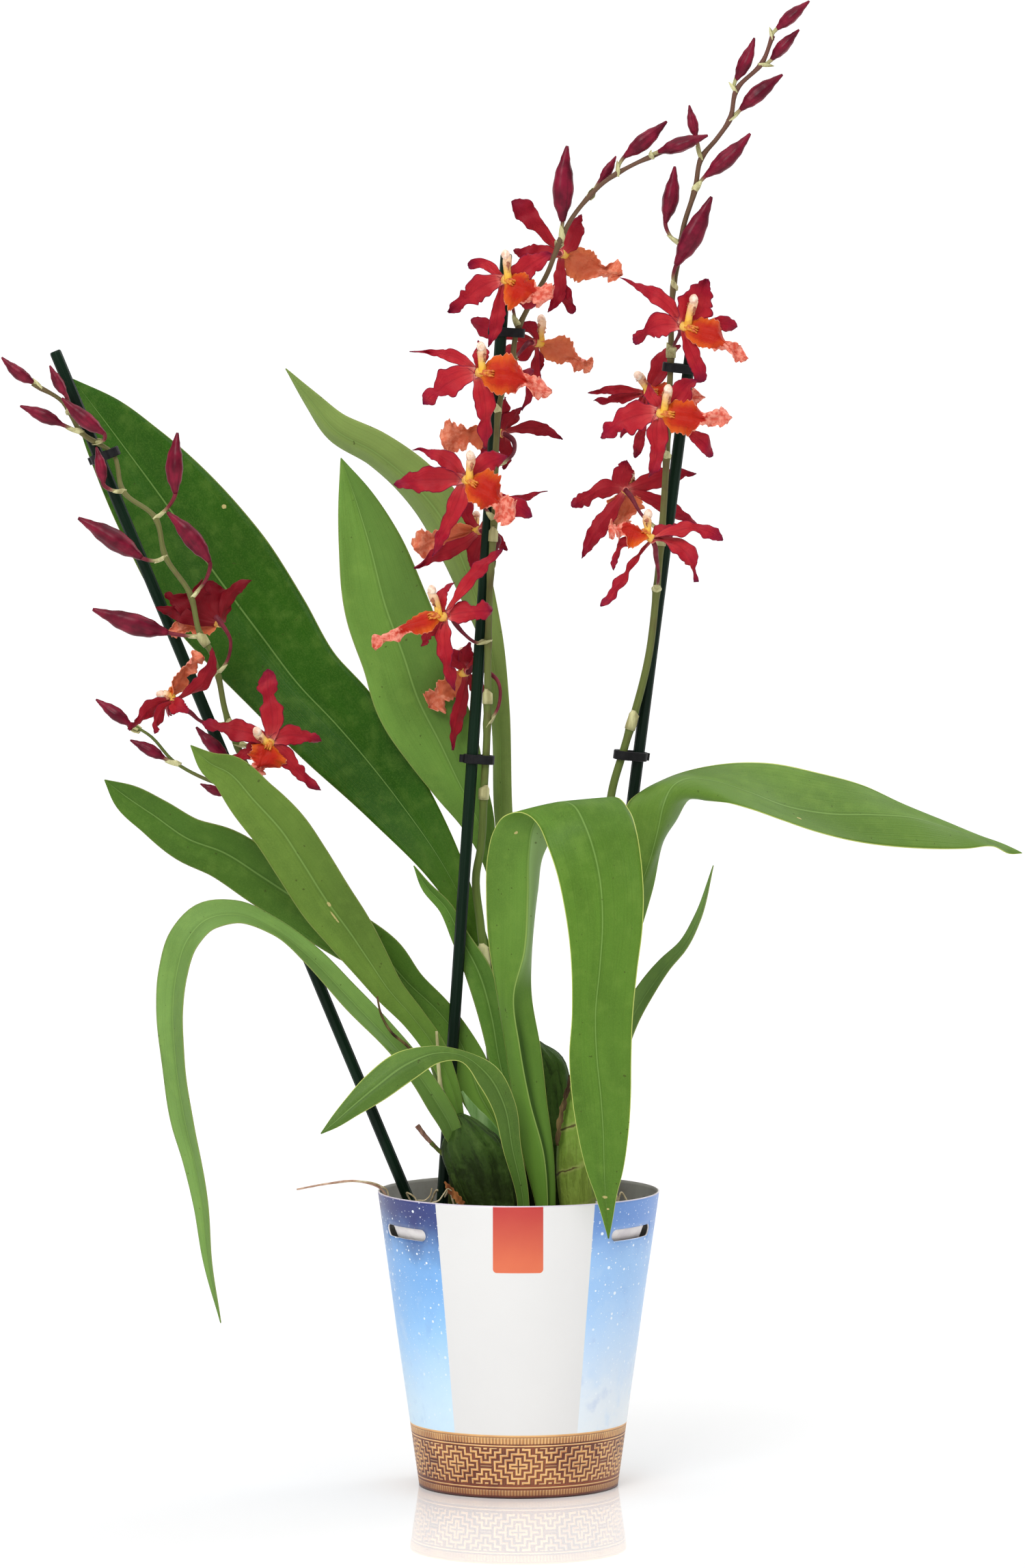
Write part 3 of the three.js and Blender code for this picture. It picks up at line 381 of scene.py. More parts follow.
def leaf_paint(name, colours, width, length, foot_last, shade, scars, pale_rim, creased):
    """A strap leaf: fine parallel veins, a midrib line, a thin edge, a few specks and painted shade that
    darkens its second half as much as shade says. width and length are the blade's, in millimetres. creased is
    for the leaf that closes over itself low down: it adds painted shade inside the fold, a painted highlight
    along the fold's edge and a paler strip where the back of the folded half shows."""
    top, under, foot = colours
    p = Paint(name, roughness=0.42, specular=0.1, subsurface=0.05)
    x, y, edge, back = blade_uv(p)
    across, along = p.times(x, width), p.times(y, length)
    veins = p.streaks(across, along, 1 / 0.9, 1 / 90)
    grain = p.noise(p.place(), 1500.0, 2.0)
    broad = p.streaks(across, along, 1 / 26, 1 / 70, 3.0)
    mottle = p.noise(p.place(), 120.0)
    share = y if foot_last else p.minus(1.0, y)
    colour = p.mix(back, top, under)
    dark = p.mix(0.5, colour, rgb(18, 40, 4))
    light = p.mix(0.3, colour, rgb(150, 180, 84))
    rim = rgb(196, 206, 112) if pale_rim else rgb(140, 146, 84)
    colour = p.over(
        colour,
        (dark, p.step(broad, 0.62, 0.3), 0.5),
        (light, p.step(mottle, 0.45, 0.75), 0.3),
        (dark, p.step(veins, 0.48, 0.72), 0.22),
        (light, p.step(grain, 0.4, 0.7), 0.2),
        (foot, p.step(share, 0.62, 1.0), 0.85),
        # Painted shade: the second half of the blade darker by shade, as if it caught less light.
        (dark, p.step(x, 0.46, 0.54), shade),
        (dark, p.step(edge, 4.5 / width, 0.8 / width), 0.4),
        (rgb(138, 172, 92), p.step(edge, 1.3 / width, 0.5 / width), 0.36),
        (rim, p.step(edge, 1 - 1.2 / width, 1 - 0.5 / width), 0.75 if pale_rim else 0.5),
    )
    if creased:
        # Painted shade inside the fold (within), a painted highlight along the fold's edge (lit) and a paler
        # strip where the back of the folded half shows (strip).
        within = p.times(p.step(x, 0.495, 0.52), p.step(x, 0.8, 0.54), p.step(y, 0.29, 0.2))
        lit = p.times(p.step(x, 0.47, 0.49), p.step(x, 0.505, 0.5), p.step(y, 0.45, 0.3))
        strip = p.times(p.step(x, 0.5, 0.53), p.step(y, 0.26, 0.31), p.step(y, 0.48, 0.42))
        colour = p.over(
            colour,
            (rgb(30, 54, 10), within, 0.8),
            (rgb(164, 186, 100), lit, 0.5),
            (rgb(138, 164, 108), strip, 0.7),
        )
    colour = p.over(colour, (rgb(50, 48, 18), p.step(p.noise(p.place(), 420.0, 1.0), 0.74, 0.79), 0.6))
    for u, v, wide, tall in scars:
        du = p.scaled(across, 1 / wide, -u * width / wide)
        dv = p.scaled(along, 1 / tall, -v * length / tall)
        far = p.plus(p.times(du, du), p.times(dv, dv))
        far = p.plus(far, p.vary(p.noise(p.place(), 900.0, 2.0), -0.9, 0.9))
        colour = p.over(colour, (rgb(196, 176, 118), p.step(far, 1.1, 0.5), 0.75))
    return p.done(colour, p.vary(mottle, 0.34, 0.5), p.scaled(veins, 0.8, p.times(grain, 0.2)), 0.00016)


def tepal_paint(name, deep):
    """Crimson, pinkish white where the tepals meet, with purple rims and tips. deep takes it towards dark
    wine, partly painted shade for blooms that stand in less light and partly their own darker colour.
    """
    p = Paint(name, roughness=0.5, specular=0.12, subsurface=0.06)
    x, y, edge, back = blade_uv(p)
    cloud = p.noise(p.place(), 150.0)
    patch = p.noise(p.place(), 45.0, 2.0)
    veins = p.streaks(x, y, 12.0, 2.0, p.times(cloud, 0.8))
    colour = p.ramp(y, (0.0, rgb(222, 168, 152)), (0.045, rgb(210, 116, 106)), (0.11, rgb(182, 58, 60)),
                    (0.24, rgb(164, 30, 40)), (0.55, rgb(154, 22, 36)), (0.8, rgb(144, 14, 38)),
                    (1.0, rgb(102, 6, 44)))
    colour = p.over(
        colour,
        (rgb(182, 46, 48), p.step(cloud, 0.44, 0.7), 0.38),
        (rgb(118, 8, 22), p.step(patch, 0.5, 0.3), 0.45),
        (rgb(116, 8, 26), p.step(veins, 0.5, 0.72), 0.3),
        (rgb(94, 6, 48), p.math("MAXIMUM", p.step(edge, 0.88, 0.98), p.step(y, 0.95, 0.99)), 0.75),
        (rgb(112, 6, 24), p.step(edge, 0.14, 0.02), 0.25),
        (rgb(118, 10, 26), back, 0.4),
    )
    # deep mixes in dark wine: painted shade for blooms in less light, a darker colour of their own for others.
    if deep:
        colour = p.mix(deep, colour, rgb(90, 2, 12))
    return p.done(colour, p.vary(cloud, 0.42, 0.6), p.plus(veins, cloud), 0.0003)


def lip_paint():
    """Golden at the claw, then red with orange sides, and a salmon pink frill that starts at a torn line."""
    p = Paint("lip_orange", roughness=0.5, specular=0.12, subsurface=0.08)
    x, y, edge, back = blade_uv(p)
    cloud = p.noise(p.place(), 230.0)
    torn = p.noise(p.place(), 420.0)
    patch = p.noise(p.place(), 75.0, 2.0)
    veins = p.streaks(x, y, 15.0, 3.0, p.times(cloud, 0.8))
    reach = p.plus(p.plus(y, p.times(p.times(edge, edge, edge), 0.17)), p.vary(torn, -0.1, 0.1))
    pink = p.mix(p.step(torn, 0.35, 0.65), rgb(198, 84, 66), rgb(228, 150, 130))
    colour = p.ramp(y, (0.0, rgb(220, 166, 74)), (0.07, rgb(204, 110, 26)), (0.15, rgb(182, 52, 14)),
                    (0.3, rgb(166, 28, 10)), (0.66, rgb(162, 27, 14)), (1.0, rgb(184, 56, 42)))
    colour = p.over(
        colour,
        (rgb(146, 18, 10), p.step(veins, 0.46, 0.7), 0.5),
        (rgb(196, 74, 20), p.step(patch, 0.52, 0.72), 0.55),
        (rgb(204, 94, 24), p.times(p.step(edge, 0.4, 0.95), p.step(y, 0.6, 0.3)), 0.7),
        (pink, p.step(reach, 0.64, 0.69), 0.9),
        (rgb(226, 148, 122), p.step(edge, 0.93, 1.0), 0.6),
        (p.mix(torn, rgb(196, 92, 56), rgb(220, 144, 104)), back, 0.6),
    )
    return p.done(colour, p.vary(cloud, 0.4, 0.6), p.plus(veins, torn), 0.0004)


def plain_paint(name, light, dark, scale, roughness, stretch, height, specular, subsurface, coat=0.0):
    """Two tones in a noise that may be drawn out along z, with the same noise as fine relief."""
    p = Paint(name, roughness, coat, specular, subsurface)
    x, y, z = p.split(p.place())
    at = p.join(x, y, p.times(z, 1.0 / stretch))
    cloud = p.noise(at, scale, 4.0)
    fine = p.noise(at, scale * 6, 2.0)
    colour = p.mix(p.step(cloud, 0.32, 0.68), dark, light)
    colour = p.over(colour, (dark, p.step(fine, 0.5, 0.75), 0.3))
    return p.done(colour, p.vary(cloud, roughness - 0.07, roughness + 0.1), p.plus(cloud, fine), height)


def stem_paint():
    """Olive green low down, flushed brown-purple towards the top, with fine lengthwise lines."""
    p = Paint("stem_olive", roughness=0.5, specular=0.14)
    x, y = p.uv()
    lines = p.streaks(x, y, 26.0, 0.5)
    cloud = p.noise(p.place(), 60.0)
    colour = p.ramp(p.times(p.split(p.place())[2], 1.35), (0.25, rgb(88, 112, 46)), (0.5, rgb(92, 104, 50)),
                    (0.7, rgb(102, 98, 58)), (0.85, rgb(98, 74, 56)), (1.0, rgb(104, 62, 58)))
    colour = p.over(
        colour,
        (rgb(92, 62, 50), p.step(cloud, 0.5, 0.72), 0.5),
        (rgb(58, 66, 32), p.step(lines, 0.5, 0.7), 0.35),
    )
    return p.done(colour, p.vary(cloud, 0.42, 0.58), lines, 0.00015)


def bud_paint():
    """Dark maroon buds with lengthwise lines."""
    p = Paint("bud_maroon", roughness=0.36, specular=0.14)
    x, y = p.uv()
    lines = p.streaks(x, y, 14.0, 0.6)
    cloud = p.noise(p.place(), 110.0)
    colour = p.mix(p.step(cloud, 0.3, 0.7), rgb(80, 8, 28), rgb(122, 22, 46))
    colour = p.over(colour, (rgb(54, 8, 22), p.step(lines, 0.45, 0.7), 0.45))
    return p.done(colour, p.vary(cloud, 0.26, 0.42), lines)


def stalk_paint():
    """The stalk of a bud or bloom: pale green where it leaves the stem, then maroon."""
    p = Paint("flower_stalk", roughness=0.45, specular=0.14)
    x, y = p.uv()
    lines = p.streaks(x, y, 12.0, 0.7)
    cloud = p.noise(p.place(), 160.0)
    colour = p.mix(p.step(cloud, 0.3, 0.7), rgb(88, 18, 34), rgb(120, 40, 52))
    pale = p.mix(cloud, rgb(150, 152, 100), rgb(190, 186, 136))
    colour = p.mix(p.step(p.plus(y, p.vary(cloud, -0.2, 0.2)), 0.95, 0.3), colour, pale)
    colour = p.over(colour, (rgb(70, 34, 30), p.step(lines, 0.45, 0.7), 0.35))
    return p.done(colour, p.vary(cloud, 0.36, 0.52), lines)


def column_paint():
    """The column: golden at its foot, then rosy."""
    p = Paint("column_gold", roughness=0.45, specular=0.2, subsurface=0.1)
    cloud = p.noise(p.place(), 500.0)
    colour = p.ramp(p.uv()[1], (0.0, rgb(214, 170, 90)), (0.3, rgb(222, 168, 48)), (0.55, rgb(222, 178, 84)),
                    (0.8, rgb(220, 174, 122)), (1.0, rgb(226, 190, 156)))
    colour = p.over(
        colour,
        (rgb(176, 96, 56), p.step(p.noise(p.place(), 260.0, 2.0), 0.52, 0.64), 0.4),
        (rgb(196, 116, 80), p.step(cloud, 0.5, 0.75), 0.3),
    )
    return p.done(colour, p.vary(cloud, 0.38, 0.52), cloud, 0.0001)


def bulb_paint(name, top, low, groove, light, ringed=False):
    """A fleshy pseudobulb: fine wrinkles lengthwise, with painted shade in the grooves and a painted highlight
    on the ridges of their relief, darker low down, with scuffs and perhaps ring scars.
    """
    p = Paint(name, roughness=0.42, specular=0.12, subsurface=0.04)
    x, y = p.uv()
    at = p.place()
    px, _, high = p.split(at)
    cloud = p.noise(at, 110.0, 4.0)
    fine = p.noise(at, 420.0)
    ribs = p.streaks(x, y, 22.0, 0.5, p.times(cloud, 0.7), 4.0)
    colour = p.mix(p.step(p.plus(high, p.vary(cloud, -0.012, 0.012)), 0.14, 0.182), low, top)
    colour = p.over(
        colour,
        # Painted shade in the grooves of the wrinkle relief and a painted highlight on its ridges; the cloud
        # and fine marks after them are random tone.
        (groove, p.step(ribs, 0.5, 0.62), 0.6),
        (light, p.step(ribs, 0.43, 0.36), 0.35),
        (light, p.step(cloud, 0.55, 0.75), 0.3),
        (groove, p.step(fine, 0.5, 0.72), 0.3),
    )
    if ringed:
        wobble = p.vary(cloud, -0.003, 0.003)
        ring = p.math("PINGPONG", p.plus(p.scaled(px, -0.45, high), wobble), 0.0105)
        colour = p.over(
            colour,
            (rgb(160, 166, 96), p.step(ring, 0.0022, 0.0006), 0.4),
            (rgb(70, 46, 32), p.times(p.step(ring, 0.0007, 0.0002), p.step(px, 0.031, 0.027)), 0.85),
            (rgb(112, 78, 62), p.step(p.plus(high, wobble), 0.1375, 0.134), 0.8),
        )
    return p.done(colour, p.vary(cloud, 0.36, 0.54), p.scaled(ribs, -1.0, p.times(fine, -0.3)), 0.0014)


# Each plain paint: its light and dark tones, the scale of its noise, its roughness, its stretch along z, its
# relief in metres, its specular level, its share of subsurface and perhaps its coat.
PLAIN_PAINTS = {
    "bract": ("bract_straw", rgb(204, 200, 150), rgb(146, 140, 94), 260, 0.6, 6, 0.0002, 0.3, 0),
    "cap": ("anther_cap", rgb(238, 220, 200), rgb(216, 172, 146), 500, 0.45, 1, 0.0001, 0.5, 0.1),
    "callus": ("callus_yellow", rgb(208, 136, 32), rgb(180, 72, 16), 500, 0.45, 1, 0.0001, 0.5, 0.1),
    "wing": ("column_wing", rgb(186, 116, 78), rgb(132, 66, 44), 500, 0.5, 1, 0.0001, 0.5, 0),
    "stake": ("stake_green", rgb(9, 34, 18), rgb(4, 18, 10), 45, 0.42, 12, 0.0001, 0.12, 0),
    "clip": ("clip_black", rgb(26, 25, 27), rgb(15, 14, 17), 300, 0.45, 1, 0.00006, 0.15, 0),
    "curl": ("dry_root", rgb(206, 192, 158), rgb(150, 130, 94), 240, 0.7, 1, 0.0002, 0.15, 0),
    "flap": ("green_flap", rgb(150, 182, 122), rgb(104, 146, 74), 160, 0.5, 6, 0.0002, 0.15, 0),
    "root": ("root_straw", rgb(160, 130, 88), rgb(92, 64, 40), 240, 0.7, 1, 0.0003, 0.15, 0),
    "husk": ("husk_brown", rgb(112, 94, 58), rgb(52, 36, 24), 190, 0.75, 5, 0.0005, 0.12, 0),
    "rust": ("husk_rust", rgb(172, 112, 62), rgb(104, 56, 30), 260, 0.7, 4, 0.0004, 0.12, 0),
    "stub": ("stub_brown", rgb(160, 124, 106), rgb(92, 60, 48), 320, 0.6, 4, 0.0003, 0.12, 0),
    "olive": ("stub_olive", rgb(112, 124, 58), rgb(82, 92, 38), 260, 0.55, 4, 0.0002, 0.12, 0),
    "tendril": ("tendril", rgb(196, 164, 140), rgb(150, 112, 94), 240, 0.7, 1, 0.0002, 0.15, 0),
    "bark": ("bark_brown", rgb(104, 70, 44), rgb(44, 28, 18), 90, 0.85, 1, 0.0009, 0.2, 0),
    "soil": ("bark_fines", rgb(70, 48, 30), rgb(30, 20, 13), 220, 0.95, 1, 0.0012, 0.2, 0),
    "card_inside": ("card_inside", rgb(158, 156, 150), rgb(134, 131, 124), 40, 0.7, 1, 0.0001, 0.15, 0),
    "card_edge": ("card_edge", rgb(232, 228, 226), rgb(214, 208, 210), 120, 0.65, 1, 0.0001, 0.5, 0),
    "pot": ("pot_plastic", rgb(206, 206, 208), rgb(188, 188, 192), 60, 0.32, 1, 0.00006, 0.5, 0, 0.1),
}
PAINT = {key: plain_paint(*row) for key, row in PLAIN_PAINTS.items()}
PAINT["tepal"] = tepal_paint("tepal_crimson", 0.0)
PAINT["lip"] = lip_paint()
PAINT["stem"] = stem_paint()
PAINT["bud"] = bud_paint()
PAINT["stalk"] = stalk_paint()
PAINT["column"] = column_paint()
PAINT["bulb_dark"] = bulb_paint("bulb_dark", rgb(58, 84, 30), rgb(36, 48, 16), rgb(22, 30, 8),
                                rgb(84, 108, 50))
PAINT["bulb_pale"] = bulb_paint("bulb_pale", rgb(112, 142, 54), rgb(124, 144, 60), rgb(94, 112, 40),
                                rgb(142, 160, 80), ringed=True)

# Each leaf: the colours of its face, back and foot, whether its stations end at its foot, the wave of its
# edges, how dark painted shade makes its second half, its scars, its fold and its stations. A station is a
# point, half the width there and a tilt in degrees. A leaf that closes over itself has lines instead: points
# on its left edge, midrib and right edge. A scar is its place across and along, and half its width and length
# in millimetres.
LEAVES = {
    "leaf_1_upper_left": {
        "colours": (rgb(38, 79, 9), rgb(84, 114, 50), rgb(94, 128, 42)),
        "foot_last": True, "wave": 0.012, "shade": 0, "fold": 0.12, "scars": [(0.9, 0.235, 1.3, 1.3)],
        "stations": [
            (-223.9, 73, 548.3, 0.25, 8), (-210.7, 71, 531.1, 12, 8), (-195.4, 68, 510.9, 20, 8),
            (-175.9, 63, 484.7, 27.4, 8), (-152.4, 57, 451.6, 32, 8), (-129, 50, 420.6, 29.3, 8),
            (-109.6, 42, 395.8, 25, 8), (-91.4, 36, 377, 24, 6), (-60.1, 28, 339.4, 17, 4),
            (-36, 20.5, 304.7, 9.5, 0), (-23, 17, 278.9, 5, 0), (-16, 16, 262, 3.5, 0),
            (-5, 15.5, 238, 3, 0), (5, 15.5, 224, 2.6, 0), (7, 17.5, 212, 2.4, 0),
        ],
    },
    "leaf_2_upright": {
        "colours": (rgb(98, 134, 56), rgb(108, 138, 70), rgb(80, 116, 40)),
        "foot_last": True, "wave": 0.012, "shade": 0.5, "fold": 0.14, "scars": [],
        "stations": [
            (-88.4, 34, 509.6, 0.25, -8), (-81.3, 32, 489.6, 9, -8), (-74.2, 30, 466.6, 16, -8),
            (-66.1, 27, 435.7, 21, -8), (-57, 24.5, 410.8, 21.5, -8), (-50, 23, 389.9, 22, -8),
            (-39, 22, 368, 19, -6), (-30, 22, 349, 14, -4), (-21, 21.5, 331, 9, 0), (-15, 21, 313, 4.5, 0),
            (-8, 21, 286, 3.5, 0), (-1, 21, 251, 3, 0), (5.5, 20.5, 224, 2.6, 0), (7, 20.5, 212, 2.4, 0),
        ],
    },
    "leaf_3_back": {
        "colours": (rgb(124, 146, 76), rgb(94, 124, 54), rgb(116, 142, 74)),
        "foot_last": True, "wave": 0.015, "shade": 0.2, "fold": -0.3, "scars": [],
        "stations": [
            (-117.2, 81, 553.5, 0.25, 35), (-104, 77, 536.4, 5.5, 35), (-92.8, 73, 523.3, 9, 35),
            (-71.5, 67, 511.3, 11, 35), (-53.3, 62, 496.3, 13, 35), (-40.2, 57, 481.3, 14, 32),
            (-30.1, 52, 462.4, 12.5, 30), (-23.1, 47, 444.4, 10.5, 30), (-15, 42, 420.5, 7, 30),
            (-10, 36, 383.7, 5.5, 30), (-8, 30, 330.9, 5, 25), (-4, 28, 295, 4, 10),
            (-0.5, 26, 254, 3.2, 0), (5.2, 25, 224, 2.6, 0), (8, 23, 212, 2.4, 0),
        ],
    },
    "leaf_4_lower_left": {
        "colours": (rgb(68, 102, 32), rgb(94, 124, 54), rgb(120, 160, 66)),
        "foot_last": True, "wave": 0.02, "shade": 0.2, "fold": 0.14, "scars": [],
        "stations": [
            (-204.4, -10, 351.7, 0.25, 12), (-195.5, -9, 344.6, 6.5, 12), (-179.6, -8, 333.6, 10, 12),
            (-163.7, -7, 322.5, 11.8, 12), (-145.8, -5, 315.4, 13.2, 12), (-126.9, -3, 303.2, 13.8, 12),
            (-106, -1, 289.1, 13.8, 12), (-84, 1, 274, 13, 10), (-67, 3, 263, 11, 8), (-54, 5, 249, 8, 5),
            (-40, 6.8, 235.5, 7, 0), (-30, 7.4, 222, 7.2, 0), (-24.6, 7.8, 210, 8.8, 0),
            (-19.8, 8, 195, 9.4, 0), (-12, 8, 181, 7.4, 0), (-4, 8, 168, 3.6, 0),
        ],
    },
    "leaf_5_left_front": {
        "colours": (rgb(96, 124, 48), rgb(104, 134, 66), rgb(96, 134, 52)),
        "foot_last": True, "wave": 0.02, "shade": 0.3, "fold": 0.14,
        "scars": [(0.5, 0.455, 0.9, 1.6), (0.44, 0.485, 0.5, 3.8)],
        "stations": [
            (-160.1, -54, 371.3, 0.25, 8), (-150.3, -51, 362.1, 6.5, 8), (-142.4, -48, 358, 9.3, 8),
            (-129.6, -43, 343.8, 12.3, 8), (-115.7, -38, 327.7, 13.8, 8), (-106.8, -33, 313.5, 14, 8),
            (-93.9, -27, 292.4, 13.7, 8), (-83.9, -22, 278.2, 12.3, 5), (-74, -18, 263.1, 9.9, 0),
            (-64, -15, 248, 7.5, 0), (-52, -13, 234, 6, 0), (-42, -12, 220, 5.5, 0),
            (-36, -12, 207, 4.6, 0), (-31.5, -12.5, 194, 3.4, 0), (-28.5, -13, 181.5, 2, 0),
        ],
    },
    "leaf_6_drooping": {
        "colours": (rgb(112, 146, 74), rgb(112, 146, 82), rgb(92, 124, 52)),
        "foot_last": False, "wave": 0.02, "shade": 0.3, "fold": 0.2, "scars": [],
        "stations": [
            (-30.5, -15.5, 172, 3.6, 5), (-32.2, -18.6, 177, 4.6, 5), (-34.6, -20.6, 183, 5.2, 8),
            (-39, -21.4, 190.5, 5.8, 16), (-48, -24, 204.5, 6.2, 34), (-54, -28, 213, 7, 45),
            (-84, -34, 246.2, 8, 50), (-102.8, -40, 266.5, 8.2, 58), (-120.7, -46, 280.9, 8.6, 68),
            (-138.5, -51, 288.3, 9.6, 60), (-153.2, -56, 285.8, 10.8, 50), (-161.9, -60, 276.2, 11.5, 48),
            (-166.7, -63, 260.7, 11.3, 50), (-168.5, -66, 243.2, 10.5, 50), (-167.4, -68, 220.7, 9.3, 50),
            (-162.3, -70, 187.3, 9, 50), (-158.3, -70, 169.6, 7, 48), (-154.4, -69, 147.7, 5.4, 45),
            (-151.5, -68, 120, 3.2, 45), (-145.6, -66, 89.2, 0.25, 45),
        ],
    },
    "leaf_7_small_front": {
        "colours": (rgb(84, 114, 48), rgb(94, 126, 62), rgb(90, 128, 52)),
        "foot_last": False, "wave": 0.03, "shade": 0.3, "fold": -0.2, "scars": [],
        "stations": [
            (3, -27, 130.6, 2.6, 0), (2, -30, 147.1, 3, 0), (-3, -36, 171.2, 4.5, 10),
            (-7, -43, 193.5, 6, 15), (-15, -50, 209.2, 6.4, 24), (-27.9, -56, 219.6, 3.4, 46),
            (-39.8, -61, 221.2, 5.2, 42), (-54.7, -66, 216.1, 8, 20), (-69.6, -70, 205.5, 7.5, 12),
            (-81.4, -73, 195.9, 5, 12), (-90.4, -75, 188, 2.6, 12), (-96.3, -76, 183.2, 0.25, 12),
        ],
    },
    "leaf_8_front": {
        "colours": (rgb(94, 130, 50), rgb(82, 118, 38), rgb(94, 132, 48)),
        "foot_last": False, "shade": 0.12,
        "scars": [(0.45, 0.952, 8, 0.8), (0.6, 0.966, 5, 0.5), (0.3, 0.442, 1.4, 1)],
        "lines": [
            ((10.6, -21, 130.6), (14, -23.5, 130.6), (17.6, -21, 130.6)),
            ((8.2, -21, 143), (14, -24.5, 143), (18.1, -21, 143)),
            ((2.4, -21, 165.6), (12.4, -26, 166.1), (17.3, -21, 165.6)),
            ((-2.6, -22, 193.9), (5.2, -29, 194.5), (13.8, -22, 193.9)),
            ((-6.4, -24, 220.1), (0.4, -33, 220.9), (10.8, -25, 220.2)),
            ((-10.5, -27, 246.3), (-2.4, -37, 247.2), (6.4, -28, 246.4)),
            ((-14.4, -30, 270.3), (3, -42, 269.2), (6.4, -32, 267.3)),
            ((-15.9, -34, 296.5), (4.7, -47, 297.5), (9.4, -36, 298.8)),
            ((-15.2, -39, 316.3), (5.1, -50, 319.2), (12.8, -42, 318.6)),
            ((-12.4, -45, 328.5), (7.2, -56, 332.5), (20.9, -50, 331)),
            ((-8.2, -54, 335.8), (11.9, -62, 340.1), (33.7, -58, 342)),
            ((-1.5, -64, 339.2), (18.7, -70, 344.1), (46.8, -66, 346.8)),
            ((4.6, -74, 338.4), (26.7, -79, 343), (53.9, -76, 340.6)),
            ((9.7, -82, 333.8), (32.1, -86, 334.1), (57.2, -84, 331.2)),
            ((13.7, -88, 325.1), (36.4, -89, 322), (59.2, -89, 318.8)),
            ((18.1, -92, 312.6), (39.3, -91, 308.3), (60.4, -93, 304.2)),
            ((22.1, -94, 294.8), (40.6, -92, 290.4), (60, -95, 286.4)),
            ((25.3, -95, 269.4), (39.3, -92, 265.9), (57.3, -96, 264.2)),
            ((25.8, -94, 243.8), (37.2, -91, 243.5), (55.2, -95, 241.8)),
            ((24.5, -92, 222.4), (37.9, -89, 222.1), (54.6, -93, 221.4)),
            ((25.8, -89, 202.9), (39.9, -86, 202.6), (54.4, -90, 201.9)),
            ((28.8, -85, 183.3), (41.2, -82, 183), (53.2, -86, 183.4)),
            ((32.9, -80, 165.7), (41.7, -78, 165.4), (50.8, -81, 165.8)),
            ((37.5, -75, 152.3), (42.4, -73, 152), (47.7, -75, 152.3)),
            ((40.6, -71, 142), (43.3, -70, 142), (46.1, -71, 142)),
            ((43.6, -67, 131), (43.9, -67, 130.8), (44.2, -67, 131)),
        ],
    },
    "leaf_9_right": {
        "colours": (rgb(92, 124, 48), rgb(108, 136, 72), rgb(92, 128, 52)),
        "foot_last": False, "shade": 0.2, "scars": [(0.72, 0.62, 0.9, 1.4)],
        "lines": [
            ((26, -8, 200.4), (29, -10, 200.4), (32, -8, 200.4)),
            ((31, -8, 217), (35, -11, 217), (39.5, -8, 217)),
            ((37.5, -9, 244), (43, -13, 244), (49.5, -9, 245)),
            ((44, -11, 268), (50.5, -16, 268), (58, -12, 270)),
            ((49, -13, 292), (57, -19, 291), (66, -13.5, 297)),
            ((51.5, -14, 318), (65.5, -23, 316), (72, -13, 322.8)),
            ((52.1, -13, 331.8), (68.8, -25, 329.2), (77.8, -11, 331.7)),
            ((54.5, -9, 340.8), (71.2, -25, 339.9), (84.6, -10, 342.3)),
            ((61.4, -3, 346), (74.7, -22, 347.5), (92.3, -14, 341.8)),
            ((70.8, 5, 350.4), (81.6, -14, 351.8), (102.4, -16, 340.8)),
            ((83.2, 13, 354.5), (94.9, -6, 350.8), (114.7, -13, 337.4)),
            ((102.9, 22, 357.7), (112.6, 1, 345), (129.5, -6, 331.8)),
            ((125.2, 31, 357.4), (131.9, 9, 337.2), (146.8, 1, 325.5)),
            ((150.1, 39, 352), (154.3, 19, 332.6), (166.7, 11, 319.9)),
            ((172.6, 47, 345.3), (176.8, 30, 331.4), (186.8, 22, 316.4)),
            ((192.7, 54, 335.7), (197, 41, 329.2), (207, 34, 314.4)),
            ((214.8, 61, 326.3), (217.8, 52, 322.5), (225, 48, 313.6)),
            ((232.4, 66, 318.8), (234.6, 61, 316.7), (238.9, 58, 313.9)),
            ((245, 69, 314.1), (246.4, 67, 312), (247.8, 66, 309.6)),
            ((253, 70, 310.4), (253.4, 70, 310), (253.8, 70, 309.6)),
        ],
    },
    "leaf_10_right_narrow": {
        "colours": (rgb(104, 134, 70), rgb(116, 144, 86), rgb(104, 140, 72)),
        "foot_last": True, "wave": 0.02, "shade": 0.3, "fold": 0.2, "scars": [],
        "stations": [
            (95.4, -42, 311.7, 0.25, 66), (88.6, -36, 285.4, 4, 68), (81.7, -32, 271.2, 5.4, 66),
            (72.8, -29, 260.9, 7, 64), (64.9, -26, 249.7, 8, 60), (55.9, -23, 234.5, 8, 56),
            (48, -20, 211.2, 7, 50), (43, -17, 190, 4.4, 30), (40, -15.5, 177, 3, 10),
            (36.5, -12.7, 165, 2.4, 0),
        ],
    },
    "leaf_11_sheath": {
        "colours": (rgb(84, 122, 46), rgb(98, 134, 66), rgb(96, 134, 58)),
        "foot_last": True, "wave": 0.02, "shade": 0.3, "fold": 0.2, "scars": [],
        "stations": [
            (-52, 7, 308, 0.25, 15), (-46, 7, 298, 2.6, 15), (-36, 7, 287, 3.6, 15),
            (-29, 6.5, 273, 4.6, 12), (-19.4, 6.5, 254, 6.8, 5), (-13.2, 6.5, 232, 6.4, 0),
            (-10, 6.5, 213, 5, 0), (-5, 6, 191, 4.4, 0), (-1, 5.5, 168, 3.4, 0), (1, 5, 130.6, 2.6, 0),
        ],
    },
}

